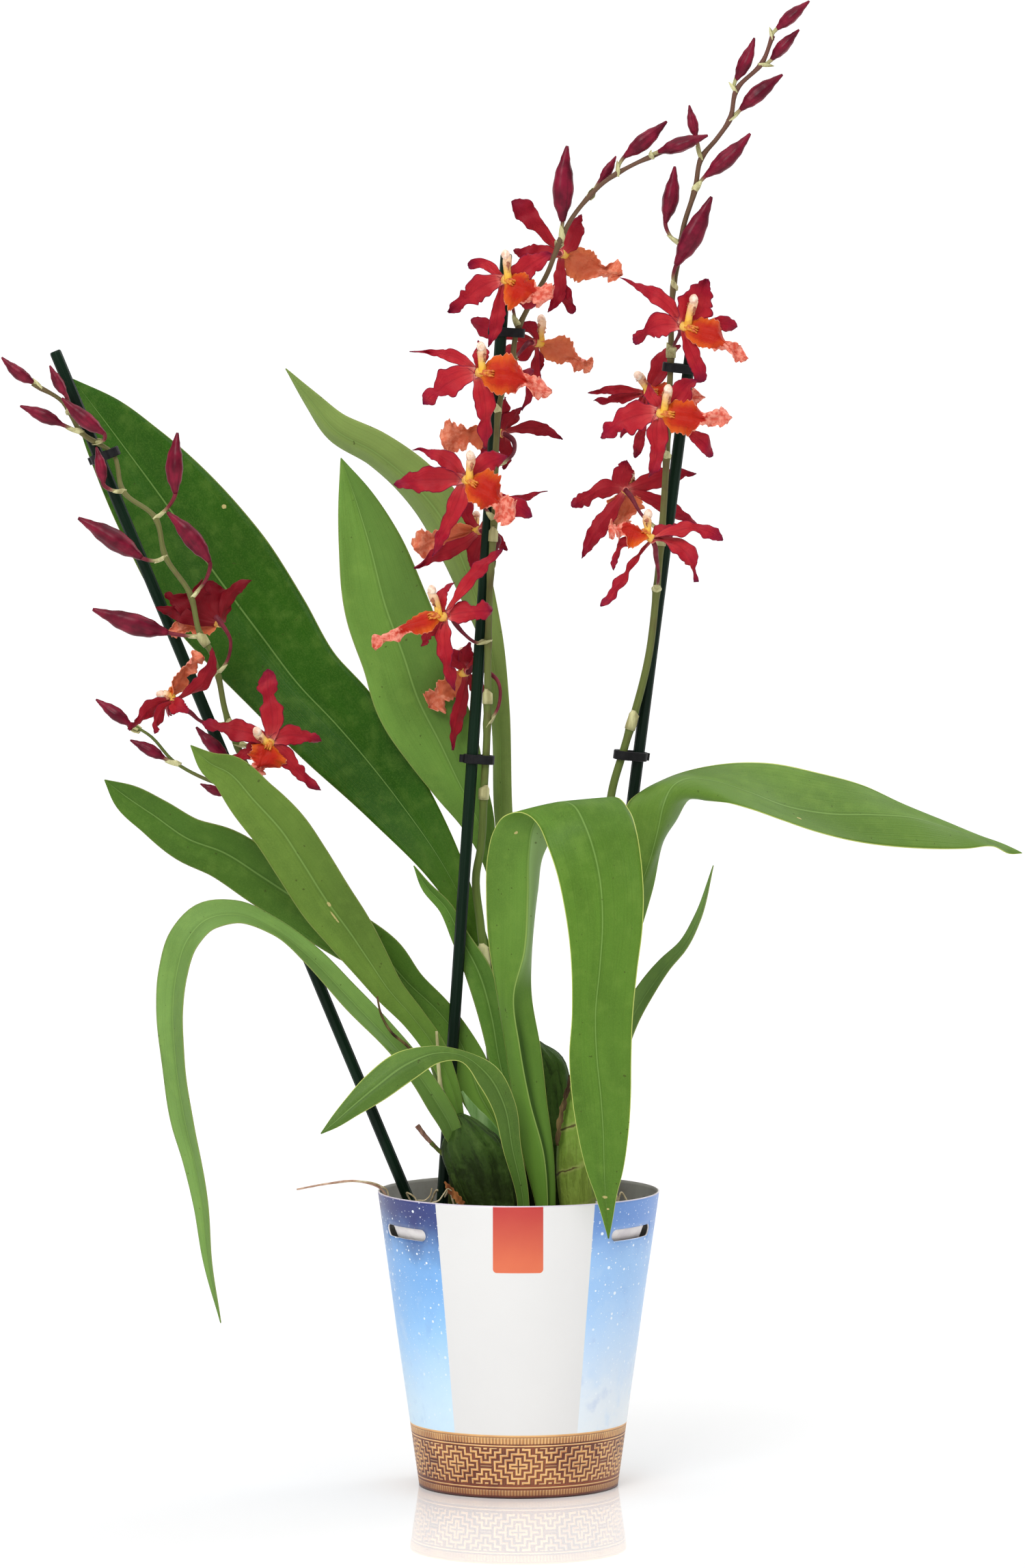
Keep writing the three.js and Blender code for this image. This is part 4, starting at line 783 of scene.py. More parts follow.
# Each flower stem: its thickest and thinnest radius, the line it follows, perhaps a branch, its sheaths as
# (share of the way up, length) and its buds as three points: tip, base and the foot of the stalk.
STEMS = {
    "flower_stem_a": {
        "radii": (2.2, 1),
        "line": [
            (-33, 12, 119), (-33, 12, 139), (-34, 12, 167), (-38, 9, 194), (-45, 4, 217), (-57, -1, 240),
            (-72, -5, 262), (-88, -7, 286), (-104, -8, 311), (-121, -8, 337), (-138, -7, 366),
            (-145, -10, 387), (-148, -12, 403), (-152, -12, 416), (-156, -12, 422), (-162, -12, 444),
            (-174, -10, 462), (-179, -8, 481), (-195, -4, 494), (-200, 0, 512), (-216, 1, 523),
            (-225, 1, 538), (-240, 0, 547),
        ],
        "branch": [
            (-121, -8, 337), (-140, -8, 347), (-155, -6, 352), (-171, -4, 361), (-182, -3, 373),
            (-194, -2, 380),
        ],
        "sheaths": [(0.2, 14), (0.36, 10), (0.47, 8), (0.58, 7), (0.67, 7)],
        "buds": [
            ((-255, 0, 560), (-241, 0, 549), (-236, 0, 545)),
            ((-246, 0, 536), (-228, 0, 528), (-216, 1, 523)),
            ((-231, -5, 556), (-224, -5, 543), (-222, 0, 533)),
            ((-225, -7, 540), (-207, -8, 525), (-209, 0.6, 518)),
            ((-208, -9, 516), (-205, -9, 500), (-195, -4, 494)),
            ((-168, -8, 523), (-169, -8, 497), (-179, -8, 481)),
            ((-217, -10, 481), (-190, -10, 464), (-174, -10, 462)),
            ((-173, -14, 484), (-155, -14, 463), (-161, -12, 442)),
            ((-210, -10, 436), (-178, -10, 426), (-156, -12, 423)),
            ((-209, 0, 391), (-194, -2, 380), (-188, -3, 376)),
            ((-192, -3, 371), (-177, -4, 363), (-168, -4, 359)),
            ((-159, -12, 378), (-145, -10, 364), (-139, -8, 347)),
            ((-157, -14, 350), (-146, -12, 345), (-136, -8, 345)),
        ],
    },
    "flower_stem_b": {
        "radii": (2.5, 1),
        "line": [
            (-6, 14, 119), (-6, 14, 139), (-11, 14, 187), (-15, 13, 228), (-17, 12, 262), (-19, 11, 279),
            (-21, 9, 304), (-19, 8, 315), (-17, 3, 348), (-16, 1, 365), (-15, -2, 420), (-14, -4, 450),
            (-12, -4, 480), (-11, -5, 520), (-10, -5, 533), (-8, -4, 543), (-4, -2, 553), (-1, 0, 572),
            (5, -1, 585), (14, -1, 601), (20, 1, 616), (26, 0, 628), (32, -1, 636), (42, -2, 646),
            (57, -2, 655), (71, -2, 661),
        ],
        "sheaths": [(0.11, 15), (0.24, 14), (0.39, 9), (0.47, 8), (0.61, 7)],
        "buds": [
            ((24, 0, 664), (22, 0, 632), (21, 1, 618)), ((48, 3, 659), (41, 2, 648), (35, -1, 639)),
            ((73, -2, 676), (55, -2, 661), (49, -2, 650)), ((93, -9, 669), (72, -6, 662), (65, -2, 659)),
        ],
    },
    "flower_stem_c": {
        "radii": (2.6, 1),
        "line": [
            (29, 8, 119), (29, 8, 140), (31, 9, 177), (34, 9, 212), (38, 9, 246), (40, 9, 280),
            (43, 9, 314), (47, 9, 348), (52, 8, 365), (65, 3, 416), (68, 1, 443), (71, 1, 477),
            (73, 1, 509), (75, 2, 555), (77, 0, 599), (79, 0, 609), (81, 0, 623), (87, -1, 643),
            (90, -1, 658), (98, -1, 668), (104, -1, 677), (107, -1, 691), (120, -1, 705), (125, -1, 718),
        ],
        "sheaths": [(0.13, 15), (0.307, 12), (0.42, 10), (0.57, 8), (0.72, 7)],
        "buds": [
            ((95, -4, 639), (80, -4, 610), (77, 0, 594)), ((77, 3, 654), (73, 3, 630), (79, 0, 616)),
            ((114, -3, 670), (95, -3, 652), (87, -1, 642)), ((84, -1, 684), (87, -1, 670), (90, -1, 658)),
            ((130, 1, 699), (112, 0, 684), (104, -1, 677)),
            ((116, -1, 717), (108, -1, 699), (107, -1, 691)),
            ((138, -2, 721), (126, -1, 708), (119, -1, 704)),
            ((143, -2, 735), (129, -1, 723), (125, -1, 717)),
        ],
    },
}

# Each bloom: its centre, the way it faces and, from the centre, its column's tip. Its lip is a tip, half a
# width, the width of the end lobe against the body and perhaps a bow (x, z). Its stalk starts on the stem.
# A tepal is a tip, half a width and perhaps its kind of outline and a bow. deep says how far its red goes
# towards dark wine, partly painted shade for blooms that stand in less light and partly the bloom's own darker
# colour.
BLOOMS = {
    "a1": {"at": (-122.1, -28, 371.8), "face": (0.1, -0.97, 0.15), "column": (-6.6, -6, 4.5), "deep": 0.2,
           "lip": (-7.9, -5, -19.8, 8.5, 1), "stalk": ((-139, -7, 369), (-129, -14.4, 369)),
           "tepals": [(-1, 3, 35.4, 5.5, "W", 0.7, 0), (25.4, 3, -0.8, 5, "T", 0.1, 3.3),
                      (24.5, 4, -24.4, 4.5, "E", -0.5, -0.5), (-21.9, 3, -9.8, 4),
                      (-34, -1, 11.2, 5, "T", 0, 0)]},
    "a2": {"at": (-170.3, -19, 391), "face": (-0.78, 0.1, 0.62), "column": (-4.7, -1, 4), "deep": 0.2,
           "lip": (13.2, 2, 22.9, 5.4, 1.4),
           "stalk": ((-142.6, -9, 379), (-157, -12, 381), (-162, -16.9, 385.6)),
           "tepals": [(-22.7, -4, -13, 4.4), (-10.1, -12, -16.8, 3.1, "T", -1.6, 1),
                      (20.4, -9, 26.6, 5, "L", 5.5, -4.2), (7.3, -11, -3, 4), (-6.7, 15, -6, 4.6)]},
    "a3": {"at": (-147.2, -5, 429), "face": (-0.25, 0.96, 0.1), "column": (-6, 8, 5), "deep": 0.75,
           "lip": (-24.8, 5, -3, 6.5, 1),
           "stalk": ((-149, -12, 404), (-144, -12.5, 410), (-142, -13, 421), (-149, -9.6, 432)),
           "tepals": [(15.5, -2, 21, 3.6, "L", -3.2, 2.4), (-5.9, 2, 20.8, 7.4, "P", 0.7, 0.2),
                      (-11.2, 0, 22.1, 5.2, "P", -2.7, -1.3), (-27.4, 0, 15, 5.5, "P", -0.5, -0.9),
                      (-31.8, -1, 7.6, 3.8, "L", -0.2, -1)]},
    "b1": {"at": (21, 20, 611.1), "face": (0.36, 0.93, 0), "column": (4, 8, 6.9),
           "lip": (28, 8, -13.1, 8, 1), "stalk": ((20, 1, 616), (18.6, 11.9, 612.4)),
           "tepals": [(-24.7, -2, 25.6, 5.1, "S", 1.2, 1.1), (9.8, 3, 19.6, 4.5, "P", 0.8, -0.4),
                      (-24.2, -2, 1.4, 4.5, "P", 0, -0.8), (-6.9, -1, -29.1, 3.8, "L", 2.6, -0.6),
                      (6.9, 2, -29.1, 3.8, "S", -3.4, -0.8)]},
    "b2": {"at": (-7.4, -21, 598.4), "face": (0.25, -0.96, 0.1), "column": (1.9, -6, 11.7),
           "lip": (21.3, -5, -11.5, 9, 1.2), "stalk": ((-1, 0, 576), (-3, -7.6, 585), (-5, -13.2, 595)),
           "tepals": [(-17.6, 4, 5.9, 2.8, "B", 1.2, 3.6), (-26.6, 4, -17.4, 5.8, "T", -1.6, 2.5),
                      (-7.7, 1, -33.3, 3.8, "L", 1, -0.2), (23.9, 5, 13.1, 5.3, "P", 0.2, -0.3),
                      (17.4, 6, -12.4, 4.4)]},
    "b3": {"at": (8.2, 22, 567), "face": (0.78, 0.62, 0), "column": (3.8, 3, 11),
           "lip": (27.8, 5, -11, 7.5, 1), "stalk": ((-3, -1.5, 558), (-0.5, 8, 561), (4.4, 16, 566.5)),
           "tepals": [(-5.2, -2, 12, 4.6), (-32.2, 6, 11, 4.6), (-17.2, 8, -7, 5.6),
                      (-6.6, -2, -33.6, 3.3, "L", 1.9, -0.4), (2.9, 8, -19, 2.8, "L", -0.1, 0)]},
    "b4": {"at": (-20.3, -29, 552.9), "face": (0.25, -0.96, 0.1), "column": (2.6, -6, 12.5),
           "lip": (35.7, -3, -4.9, 9.4, 0.85),
           "stalk": ((-10.5, -5, 533), (-14, -13.2, 544), (-17, -18.9, 555)),
           "tepals": [(-33.5, 5, 10.2, 3.4, "A", 1.1, 3.5), (-27.7, 4, -15.6, 6.6, "T", -1.2, 2.1),
                      (5.9, 4, -38.1, 5.6, "E", 0.9, 0.1), (1.5, 4.4, 16.4, 3.5, "P", 1, -0.1),
                      (29.5, 7, -1, 2.7, "S", -0.1, -1.6)]},
    "b5": {"at": (-7.6, 20, 522.1), "face": (-0.45, 0.87, 0.2), "column": (-3.4, 8, 6.9), "deep": 0.3,
           "lip": (-30.1, 6, -1.4, 7.6, 2),
           "stalk": ((-11.3, -4.7, 507), (-6, -0.1, 509), (-2, 7.7, 514), (-3.6, 14.6, 520)),
           "tepals": [(29, 6, -3.6, 3.4, "L", 0.5, 4.4), (7.2, 3, 14.4, 3.8, "P", 0, 0),
                      (0.6, 1, 18.2, 2.9, "L", -0.6, 0), (-9.4, -3, -14.1, 4.6),
                      (0, 3, -17.8, 3.5, "P", 1.3, 0)]},
    "b6": {"at": (-26.5, -27, 500.6), "face": (0.2, -0.97, 0.1), "column": (3.6, -6, 11.3),
           "lip": (25.3, -4, -15.9, 9, 1.25), "stalk": ((-12.5, -4, 480), (-18, -12, 489), (-22, -17.5, 499)),
           "tepals": [(-25.9, 5, 15.8, 4.7, "A", 1.7, 2.8), (-35.5, 4, -2.8, 6.2, "P", -0.1, 1),
                      (-16.6, 4, -38.1, 4.8, "E", 1.1, -0.5), (20.8, 5, 11.1, 5.6, "P", -0.5, 0.9),
                      (33.5, 7, -18.6, 4.6)]},
    "b7": {"at": (-18.9, 17, 474.1), "face": (-0.26, 0.96, 0.15), "column": (-3.1, 8, 6.9),
           "lip": (-32.3, 5, -8.3, 7, 1.7),
           "stalk": ((-14, -3.5, 455), (-11, 1.8, 465), (-9.5, 6.2, 470), (-15.5, 10.9, 473.5)),
           "tepals": [(-33.9, -2, -15.9, 4.4, "L", 1, -2.1), (-9.1, 2.5, 15.9, 4.5),
                      (32.9, 4, 20.9, 4.1, "A", -1.2, 1.9), (-4.1, 4.4, -22.1, 4.6), (13.9, 2, -9.1, 4.3)]},
    "b8": {"at": (-35.5, -20, 433), "face": (-0.78, -0.62, 0.1), "column": (-7.7, -4, 12.3),
           "lip": (-33.6, -7, -15.7, 5.6, 1.2, 0.8, 3.6),
           "stalk": ((-15, -2.5, 420), (-21, -7.3, 419.5), (-27, -11.2, 424), (-32, -15, 430.5)),
           "tepals": [(4, 3, 16.3, 3.5, "P", -3.7, 0.9), (28.3, -3, 33.8, 4, "L", -1.7, 1.4),
                      (22.5, -3, 2.5, 5.9, "W", -0.1, 0.9), (3.6, -3, -37, 4.7, "E", -1.4, -0.1),
                      (-11.5, 10, -15, 4.6)]},
    "b9": {"at": (-25.8, 12, 404.1), "face": (-0.42, 0.91, 0), "column": (-3.2, 8, 8.9),
           "lip": (-18.8, 4, -16.4, 7.5, 1.5),
           "stalk": ((-15.5, 0, 378), (-9.8, 1.1, 388), (-10.5, 5.6, 400), (-17, 8.6, 405), (-21.8, 8.9, 407)),
           "tepals": [(-6.4, -1, -39, 4, "L", -0.1, 0), (0.8, 3, 14.9, 4.4), (-10.2, 1, 11.9, 4.4),
                      (8.8, 5, -10.1, 4.4), (11.8, 5, 8.9, 4.4)]},
    "c1": {"at": (79.9, -20, 575.5), "face": (0.36, -0.92, 0.15), "column": (6.4, -4, 12.6),
           "lip": (32.1, -3, -13.2, 7.2, 0.85),
           "stalk": ((75.3, 1.7, 562), (77, -6.4, 567), (79.6, -12.3, 573)),
           "tepals": [(-29.7, 2, 25.8, 4.2, "A", 1.6, 1.9), (-23.2, 2, -8.7, 6, "T", -1.5, 3.9),
                      (12, 4, 23.2, 8.5, "P", 0.6, -0.3), (28, 6, -0.7, 3.7, "S", 0, 1.2),
                      (10.4, 1, -27.9, 3.9, "B", -0.2, -0.1)]},
    "c2": {"at": (68.5, -25, 532.9), "face": (0.25, -0.96, 0.1), "column": (5.2, -5, 11.4),
           "lip": (33.9, -3, -5.8, 8, 0.95), "stalk": ((73, 1, 510), (71.5, -9.2, 520), (70.5, -16, 530)),
           "tepals": [(-29.4, 2, -11.7, 7.2, "T", -1.1, 2.7), (-5.1, 6, 14.8, 3.3, "P", -0.3, -0.1),
                      (18.8, 4, 16.7, 5.8, "P", 0, 0), (27.7, 7, -21.3, 3.8, "S", 1, 1.2),
                      (-5.1, 2, -31.1, 5.2, "E", 1.6, -0.3)]},
    "c3": {"at": (62.8, 24, 542.2), "face": (0.1, -0.98, 0.15), "column": (-2.8, -5, 8.8), "deep": 0.35,
           "lip": (28.2, 6, -1.2, 7, 1),
           "stalk": ((73.6, 1.6, 524), (71, 12, 524), (66, 28, 530), (63, 29, 539)),
           "tepals": [(16.7, 1, 24.8, 4.9, "L", -0.6, 0.4), (-28.3, -4, -0.4, 2.2, "L", 0, 1.7),
                      (-26.1, 8, -5.4, 3.1, "T", 0, 0.1), (-3.9, 0, -32.9, 2.6, "S", 0.6, -0.1),
                      (-11, 6, -24, 3, "L", -0.5, 0.2)]},
    "c4": {"at": (53.2, 21, 494.1), "face": (0, 0.995, 0.1), "column": (2.8, 8, 6.9),
           "lip": (-0.2, 12, -20.1, 8.5, 1), "stalk": ((70.7, 1, 474), (61, 6.2, 482), (55.6, 11.7, 491)),
           "tepals": [(0.9, -2, 15.3, 5.3, "P", -2, 0.1), (-27.4, -2, -8.1, 4.5, "W", -0.9, 2.9),
                      (-22.3, -2, -34, 4.4, "L", -0.4, 0.3), (34.4, 9, 6.4, 4, "P", -0.4, 2.4),
                      (36.3, 9, -18, 3.6, "L", 0.5, 1.1)]},
    "c5": {"at": (65.8, -21, 470.6), "face": (-0.36, -0.2, 0.91), "column": (-3, 2, 11.9),
           "lip": (-21.3, -4, 6.1, 7.4, 1.2), "stalk": ((68, 1, 444), (69, -9.5, 453), (67.5, -16.6, 463)),
           "tepals": [(34.4, -3, -0.2, 3.8, "W", 0, 5.4), (20.8, -6, -20.6, 4.7, "P", 4.8, 4.8),
                      (-19.5, -4, -14.6, 2.7, "T", -3.8, 5.1), (-25.2, 0, -33, 3.5, "S", 0.5, -0.4),
                      (15.2, 9, 6.4, 4.6)]},
}

LEAF_SKIN = (0.4, 1.3)


def finish_leaf(sheet, name, leaf, width, span):
    paint = leaf_paint(name, leaf["colours"], width, span, leaf["foot_last"], leaf["shade"], leaf["scars"],
                       "lines" in leaf or name == "leaf_7_small_front", name == "leaf_8_front")
    obj = sheet.make(name + "_blade", [paint])
    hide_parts(name)


def make_leaf(name, leaf, seed):
    rows = [[*station, leaf["fold"]] for station in leaf["stations"]]
    span = sum(math.dist(a[:3], b[:3]) for a, b in zip(rows, rows[1:]))
    rows = smooth(rows, int(span / 2.6))
    centre, half, tilt, fold = rows[:, :3], np.maximum(rows[:, 3], 0.25), np.radians(rows[:, 4]), rows[:, 5]
    along = unit(np.gradient(centre, axis=0))
    across = turned(unit(np.cross(along, [0, 1, 0])), along, tilt)
    rng = random.Random(seed)
    phase = [rng.uniform(0, CYCLE) for _ in range(2)]
    beats = span / 75

    def lift(u, s):
        h, f = half[:, None], fold[:, None]
        side = np.where(u < 0, phase[0], phase[1])
        ripple = np.sin(CYCLE * beats * s + side) + 0.4 * np.sin(CYCLE * 2.3 * beats * s + 2 * side + 1)
        groove = -0.7 * np.exp(-((u * h / 1.2) ** 2)) * np.minimum(1, h / 5)
        return f * h * np.abs(u) ** 1.2 + leaf["wave"] * h * np.abs(u) ** 2 * ripple + groove

    sheet = Sheet()
    add_blade(sheet, centre, across, np.cross(along, across), half, half, lift, LEAF_SKIN, 14)
    finish_leaf(sheet, name, leaf, 2 * half.max(), span)


def make_lined_leaf(name, leaf):
    rows = np.array([[*middle, *left, *right] for left, middle, right in leaf["lines"]], float)
    span = float(np.sum(np.linalg.norm(np.diff(rows[:, :3], axis=0), axis=1)))
    rows = smooth(rows, int(span / 2.2))
    middle, left, right = rows[:, None, :3], rows[:, None, 3:6], rows[:, None, 6:]
    u = spread(19)
    swing, rise = (right - left) / 2, (right + left) / 2 - middle
    grid = middle + swing * u[None, :, None] + rise * np.abs(u[None, :, None]) ** 1.35
    if name == "leaf_8_front":
        tucked = through(np.linspace(0, 1, len(grid)), [(0, 1), (0.2, 1), (0.29, 0), (1, 0)])
        grid[..., 1] += 2.4 * tucked[:, None] * np.where(u > 0.05, np.exp(-u / 0.45), 0.0)
    wide = np.linalg.norm(rows[:, 6:] - rows[:, 3:6], axis=1).max()
    sheet = Sheet()
    add_skin(sheet, grid, u, LEAF_SKIN)
    finish_leaf(sheet, name, leaf, wide, span)


for number, (name, leaf) in enumerate(LEAVES.items()):
    if "lines" in leaf:
        make_lined_leaf(name, leaf)
    else:
        make_leaf(name, leaf, 40 + number)


# The flower stems with their buds, stalks and bracts.
def add_bract(sheet, foot, towards, stem_along, size):
    """A boat-shaped scale that clasps the foot of a stalk from below."""
    foot, towards = np.array(foot, float), np.array(towards, float)
    along = unit(towards - foot)
    below = -unit(stem_along) + along * np.dot(stem_along, along)
    below = unit(below if np.linalg.norm(below) > 0.05 else np.cross(along, [0, 1, 0]))
    s = np.linspace(0, 1, 9)
    path = foot + along * (s * size - 1.2)[:, None] + below * (0.9 + 0.5 * np.sin(2.6 * s))[:, None]
    half = size * 0.3 * through(s, [(0, 0.75), (0.35, 1.0), (0.75, 0.7), (1, 0.08)])
    across = np.repeat(np.cross(along, below)[None], 9, 0)
    add_blade(sheet, path, across, np.repeat(below[None], 9, 0), half, half,
              lambda u, t: -0.85 * half[:, None] * u * u, (0.18, 0.4), 8)


def add_sheath(sheet, path, radius, seed):
    """A papery sheath wrapped round a stretch of stem, open along a slit and pointed at the top."""
    rows = len(path)
    along, side, other = frames(path)
    gap = through(np.linspace(0, 1, rows), [(0, 0.12), (0.6, 0.5), (1, 2.7)])
    u = np.linspace(-1, 1, 19)
    turn = random.Random(seed).uniform(0, CYCLE) + u[None, :] * (math.pi - gap[:, None])
    flare = radius[:, None] + 0.35 + 0.35 * np.linspace(0, 1, rows)[:, None]
    ring = side[:, None, :] * np.cos(turn)[..., None] + other[:, None, :] * np.sin(turn)[..., None]
    add_skin(sheet, path[:, None, :] + ring * flare[..., None], u, (0.2, 0.3))


def nearest(path, point):
    return int(np.argmin(np.linalg.norm(path - np.array(point, float), axis=1)))


# The radius of a bud from its foot to its tip, against its fullest.
BUD_OUTLINE = [
    (0, 0.26), (0.08, 0.44), (0.24, 0.84), (0.42, 1), (0.62, 0.84), (0.82, 0.46), (0.93, 0.28), (1, 0.14),
]


def add_bud(sheet, tip, base, foot, rng):
    """A ribbed bud that is fullest a third of the way up and ends in a blunt beak, on its bent stalk."""
    tip, base, foot = (np.array(p, float) for p in (tip, base, foot))
    axis = tip - base
    size = np.linalg.norm(axis)
    low = base - 0.16 * axis
    bend = (base - 0.3 * axis) * 0.65 + foot * 0.35
    stalk = smooth([foot, bend, low, base], 14)
    add_tube(sheet, stalk, np.linspace(0.75, 1.2, 14), 10, slot=1)
    bow = unit(np.cross(unit(axis), [0, 1, 0])) * rng.uniform(-0.05, 0.05) * size
    s = np.linspace(0, 1, 26)
    body = low + (tip - low) * s[:, None] + bow * (4 * s * (1 - s))[:, None]
    swell = (0.15 * size + 0.55) * through(s, BUD_OUTLINE)
    start = rng.uniform(0, CYCLE)

    def ribs(turn, t):
        seams = np.exp(-((np.sin(1.5 * turn + start / 2 + 1.57) / 0.22) ** 2))
        return 1 + (0.06 * np.cos(3 * turn + start) - 0.05 * seams) * np.sin(np.pi * t)

    add_tube(sheet, body, swell, 36, shape=ribs)
    return bend


def make_stem(name, row, seed):
    stem, buds, bracts = Sheet(), Sheet(), Sheet()
    blooms = [bloom for key, bloom in BLOOMS.items() if key[0] == name[-1]]
    span = sum(math.dist(a, b) for a, b in zip(row["line"], row["line"][1:]))
    count = int(span / 2.5)
    path = smooth(row["line"], count)
    wide, thin = row["radii"]
    radius = wide + (thin - wide) * np.linspace(0, 1, count)
    feet = [bud[2] for bud in row["buds"]] + [bloom["stalk"][0] for bloom in blooms]
    knots = [nearest(path, foot) for foot in feet if np.linalg.norm(path[nearest(path, foot)] - foot) < 6]
    for i in knots + [at * count for at, _ in row["sheaths"]]:
        radius = radius + 0.35 * np.exp(-(((np.arange(count) - i) / 1.3) ** 2))
    add_tube(stem, path, radius, 14, shape=lambda turn, s: 1 + 0.03 * np.cos(7 * turn) + 0 * s)
    lines = [path]
    if "branch" in row:
        lines.append(smooth(row["branch"], 30))
        add_tube(stem, lines[1], np.linspace(1.1, 0.7, 30), 12)
    for k, (at, length) in enumerate(row["sheaths"]):
        i = int(at * count)
        j = min(count - 1, i + max(3, int(length / 2.5)))
        add_sheath(bracts, path[i:j + 1], radius[i:j + 1], seed + k)

    def stem_way(foot):
        best = min(lines, key=lambda line: np.min(np.linalg.norm(line - np.array(foot, float), axis=1)))
        i = min(nearest(best, foot), len(best) - 2)
        return unit(best[i + 1] - best[i])

    for k, (tip, base, foot) in enumerate(row["buds"]):
        rng = random.Random(seed * 31 + k)
        bend = add_bud(buds, tip, base, foot, rng)
        add_bract(bracts, foot, bend, stem_way(foot), rng.uniform(6.5, 9))
    for bloom in blooms:
        look = unit(bloom["face"])
        points = [*bloom["stalk"], *(np.array(bloom["at"]) - look * d for d in (3.4, 1.2))]
        swell = through(np.linspace(0, 1, 34), [(0, 0.75), (0.45, 0.85), (0.8, 1.35), (1, 1.2)])
        add_tube(buds, smooth(points, 34), swell, 12, slot=1,
                 shape=lambda turn, t: 1 + 0.08 * np.cos(3 * turn) * t)
        add_bract(bracts, bloom["stalk"][0], bloom["stalk"][1], stem_way(bloom["stalk"][0]), 8.5)
    obj = stem.make(name + "_stalk", [PAINT["stem"]])
    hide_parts(name)
    buds.make(name + "_buds", [PAINT["bud"], PAINT["stalk"]])
    bracts.make(name + "_bracts", [PAINT["bract"]])


for number, (name, row) in enumerate(STEMS.items()):
    make_stem(name, row, 7 + number)


# The blooms. Every tepal and lip follows the line, width and tip of its solid, with finer edges.
def petal_frames(root, bulge, tip, look, count, most=0.8, twist=0.0):
    """A bent line from root to tip, with its blade turned until it is within most radians of the front."""
    t = np.linspace(0, 1, count)[:, None]
    path = (1 - t) ** 2 * root + 2 * t * (1 - t) * bulge + t ** 2 * tip
    along = unit(np.gradient(path, axis=0))
    across = unit(np.cross(look[None, :], along))
    normal = np.cross(along, across)
    front = np.array([0.0, -1.0, 0.0])
    flat = unit(front - along * np.sum(along * front, 1, keepdims=True))
    angle = np.arctan2(np.sum(np.cross(normal, flat) * along, 1), np.sum(normal * flat, 1))
    angle = (angle[count // 2] + math.pi / 2) % math.pi - math.pi / 2
    more = math.copysign(max(0.0, abs(angle) - most), angle)
    s = t[:, 0]
    across = turned(across, along, more * through(s, [(0, 0), (0.4, 1), (1, 1)]) + twist * s * s)
    return path, across, np.cross(along, across)


# Half widths along a tepal, against its widest, as (share of the way, width) by its kind: lance, spoon,
# petal, long-tailed, early-wide, blunt, torn and two-lobed.
OUTLINES = {
    "L": [(0, 0.34), (0.14, 0.46), (0.34, 0.82), (0.52, 1), (0.68, 0.9), (0.82, 0.58), (0.93, 0.26),
          (1, 0.04)],
    "S": [(0, 0.3), (0.16, 0.4), (0.36, 0.52), (0.5, 0.6), (0.66, 0.94), (0.8, 1.04), (0.92, 0.72),
          (0.97, 0.42), (1, 0.08)],
    "P": [(0, 0.4), (0.12, 0.52), (0.28, 0.9), (0.44, 1.08), (0.6, 1), (0.74, 0.74), (0.86, 0.5),
          (0.95, 0.3), (1, 0.05)],
    "A": [(0, 0.36), (0.14, 0.56), (0.3, 0.92), (0.42, 1), (0.56, 0.82), (0.68, 0.5), (0.8, 0.24),
          (0.92, 0.12), (1, 0.04)],
    "E": [(0, 0.4), (0.1, 0.64), (0.25, 1), (0.38, 0.96), (0.54, 0.7), (0.7, 0.64), (0.84, 0.5),
          (0.95, 0.22), (1, 0.04)],
    "B": [(0, 0.34), (0.15, 0.5), (0.35, 0.9), (0.55, 1), (0.76, 0.92), (0.9, 0.86), (0.97, 0.66),
          (1, 0.2)],
    "T": [(0, 0.4), (0.14, 0.64), (0.32, 1), (0.48, 1.02), (0.62, 0.72), (0.72, 0.48), (0.82, 0.56),
          (0.89, 0.52), (0.95, 0.3), (1, 0.05)],
    "W": [(0, 0.36), (0.14, 0.6), (0.3, 0.98), (0.44, 0.92), (0.56, 0.6), (0.64, 0.58), (0.77, 0.88),
          (0.87, 0.8), (0.95, 0.42), (1, 0.06)],
}
RUFFLE = {"L": 0.07, "S": 0.05, "P": 0.12, "A": 0.07, "E": 0.1, "B": 0.07, "T": 0.15, "W": 0.12}
LIP_OUTLINE = [
    (0, 0.2), (0.05, 0.28), (0.12, 0.66), (0.22, 0.98), (0.34, 1.04), (0.45, 0.98), (0.54, 0.72),
    (0.61, 0.44),
    (0.68, 0.38), (0.77, 0.58), (0.87, 0.64), (0.95, 0.42), (1, 0.1),
]
LIP_WAIST = 0.58
TEPAL_ROWS = 46
LIP_ROWS = 56


def margin(s, size, depth, rng):
    """One edge of a petal: slow waves with a finer one on them and two or three notches towards the tip."""
    a, b = (rng.uniform(0, CYCLE) for _ in range(2))
    edge = np.sin(CYCLE * size / rng.uniform(8.5, 12) * s + a) + 0.3 * np.sin(CYCLE * size / 4.4 * s + b)
    for _ in range(rng.choice((1, 2, 3))):
        edge = edge - 1.5 * np.exp(-(((s - rng.uniform(0.5, 0.93)) / 0.022) ** 2))
    return 1 + depth * edge * through(s, [(0, 0), (0.28, 0.5), (0.55, 1), (1, 1.1)])


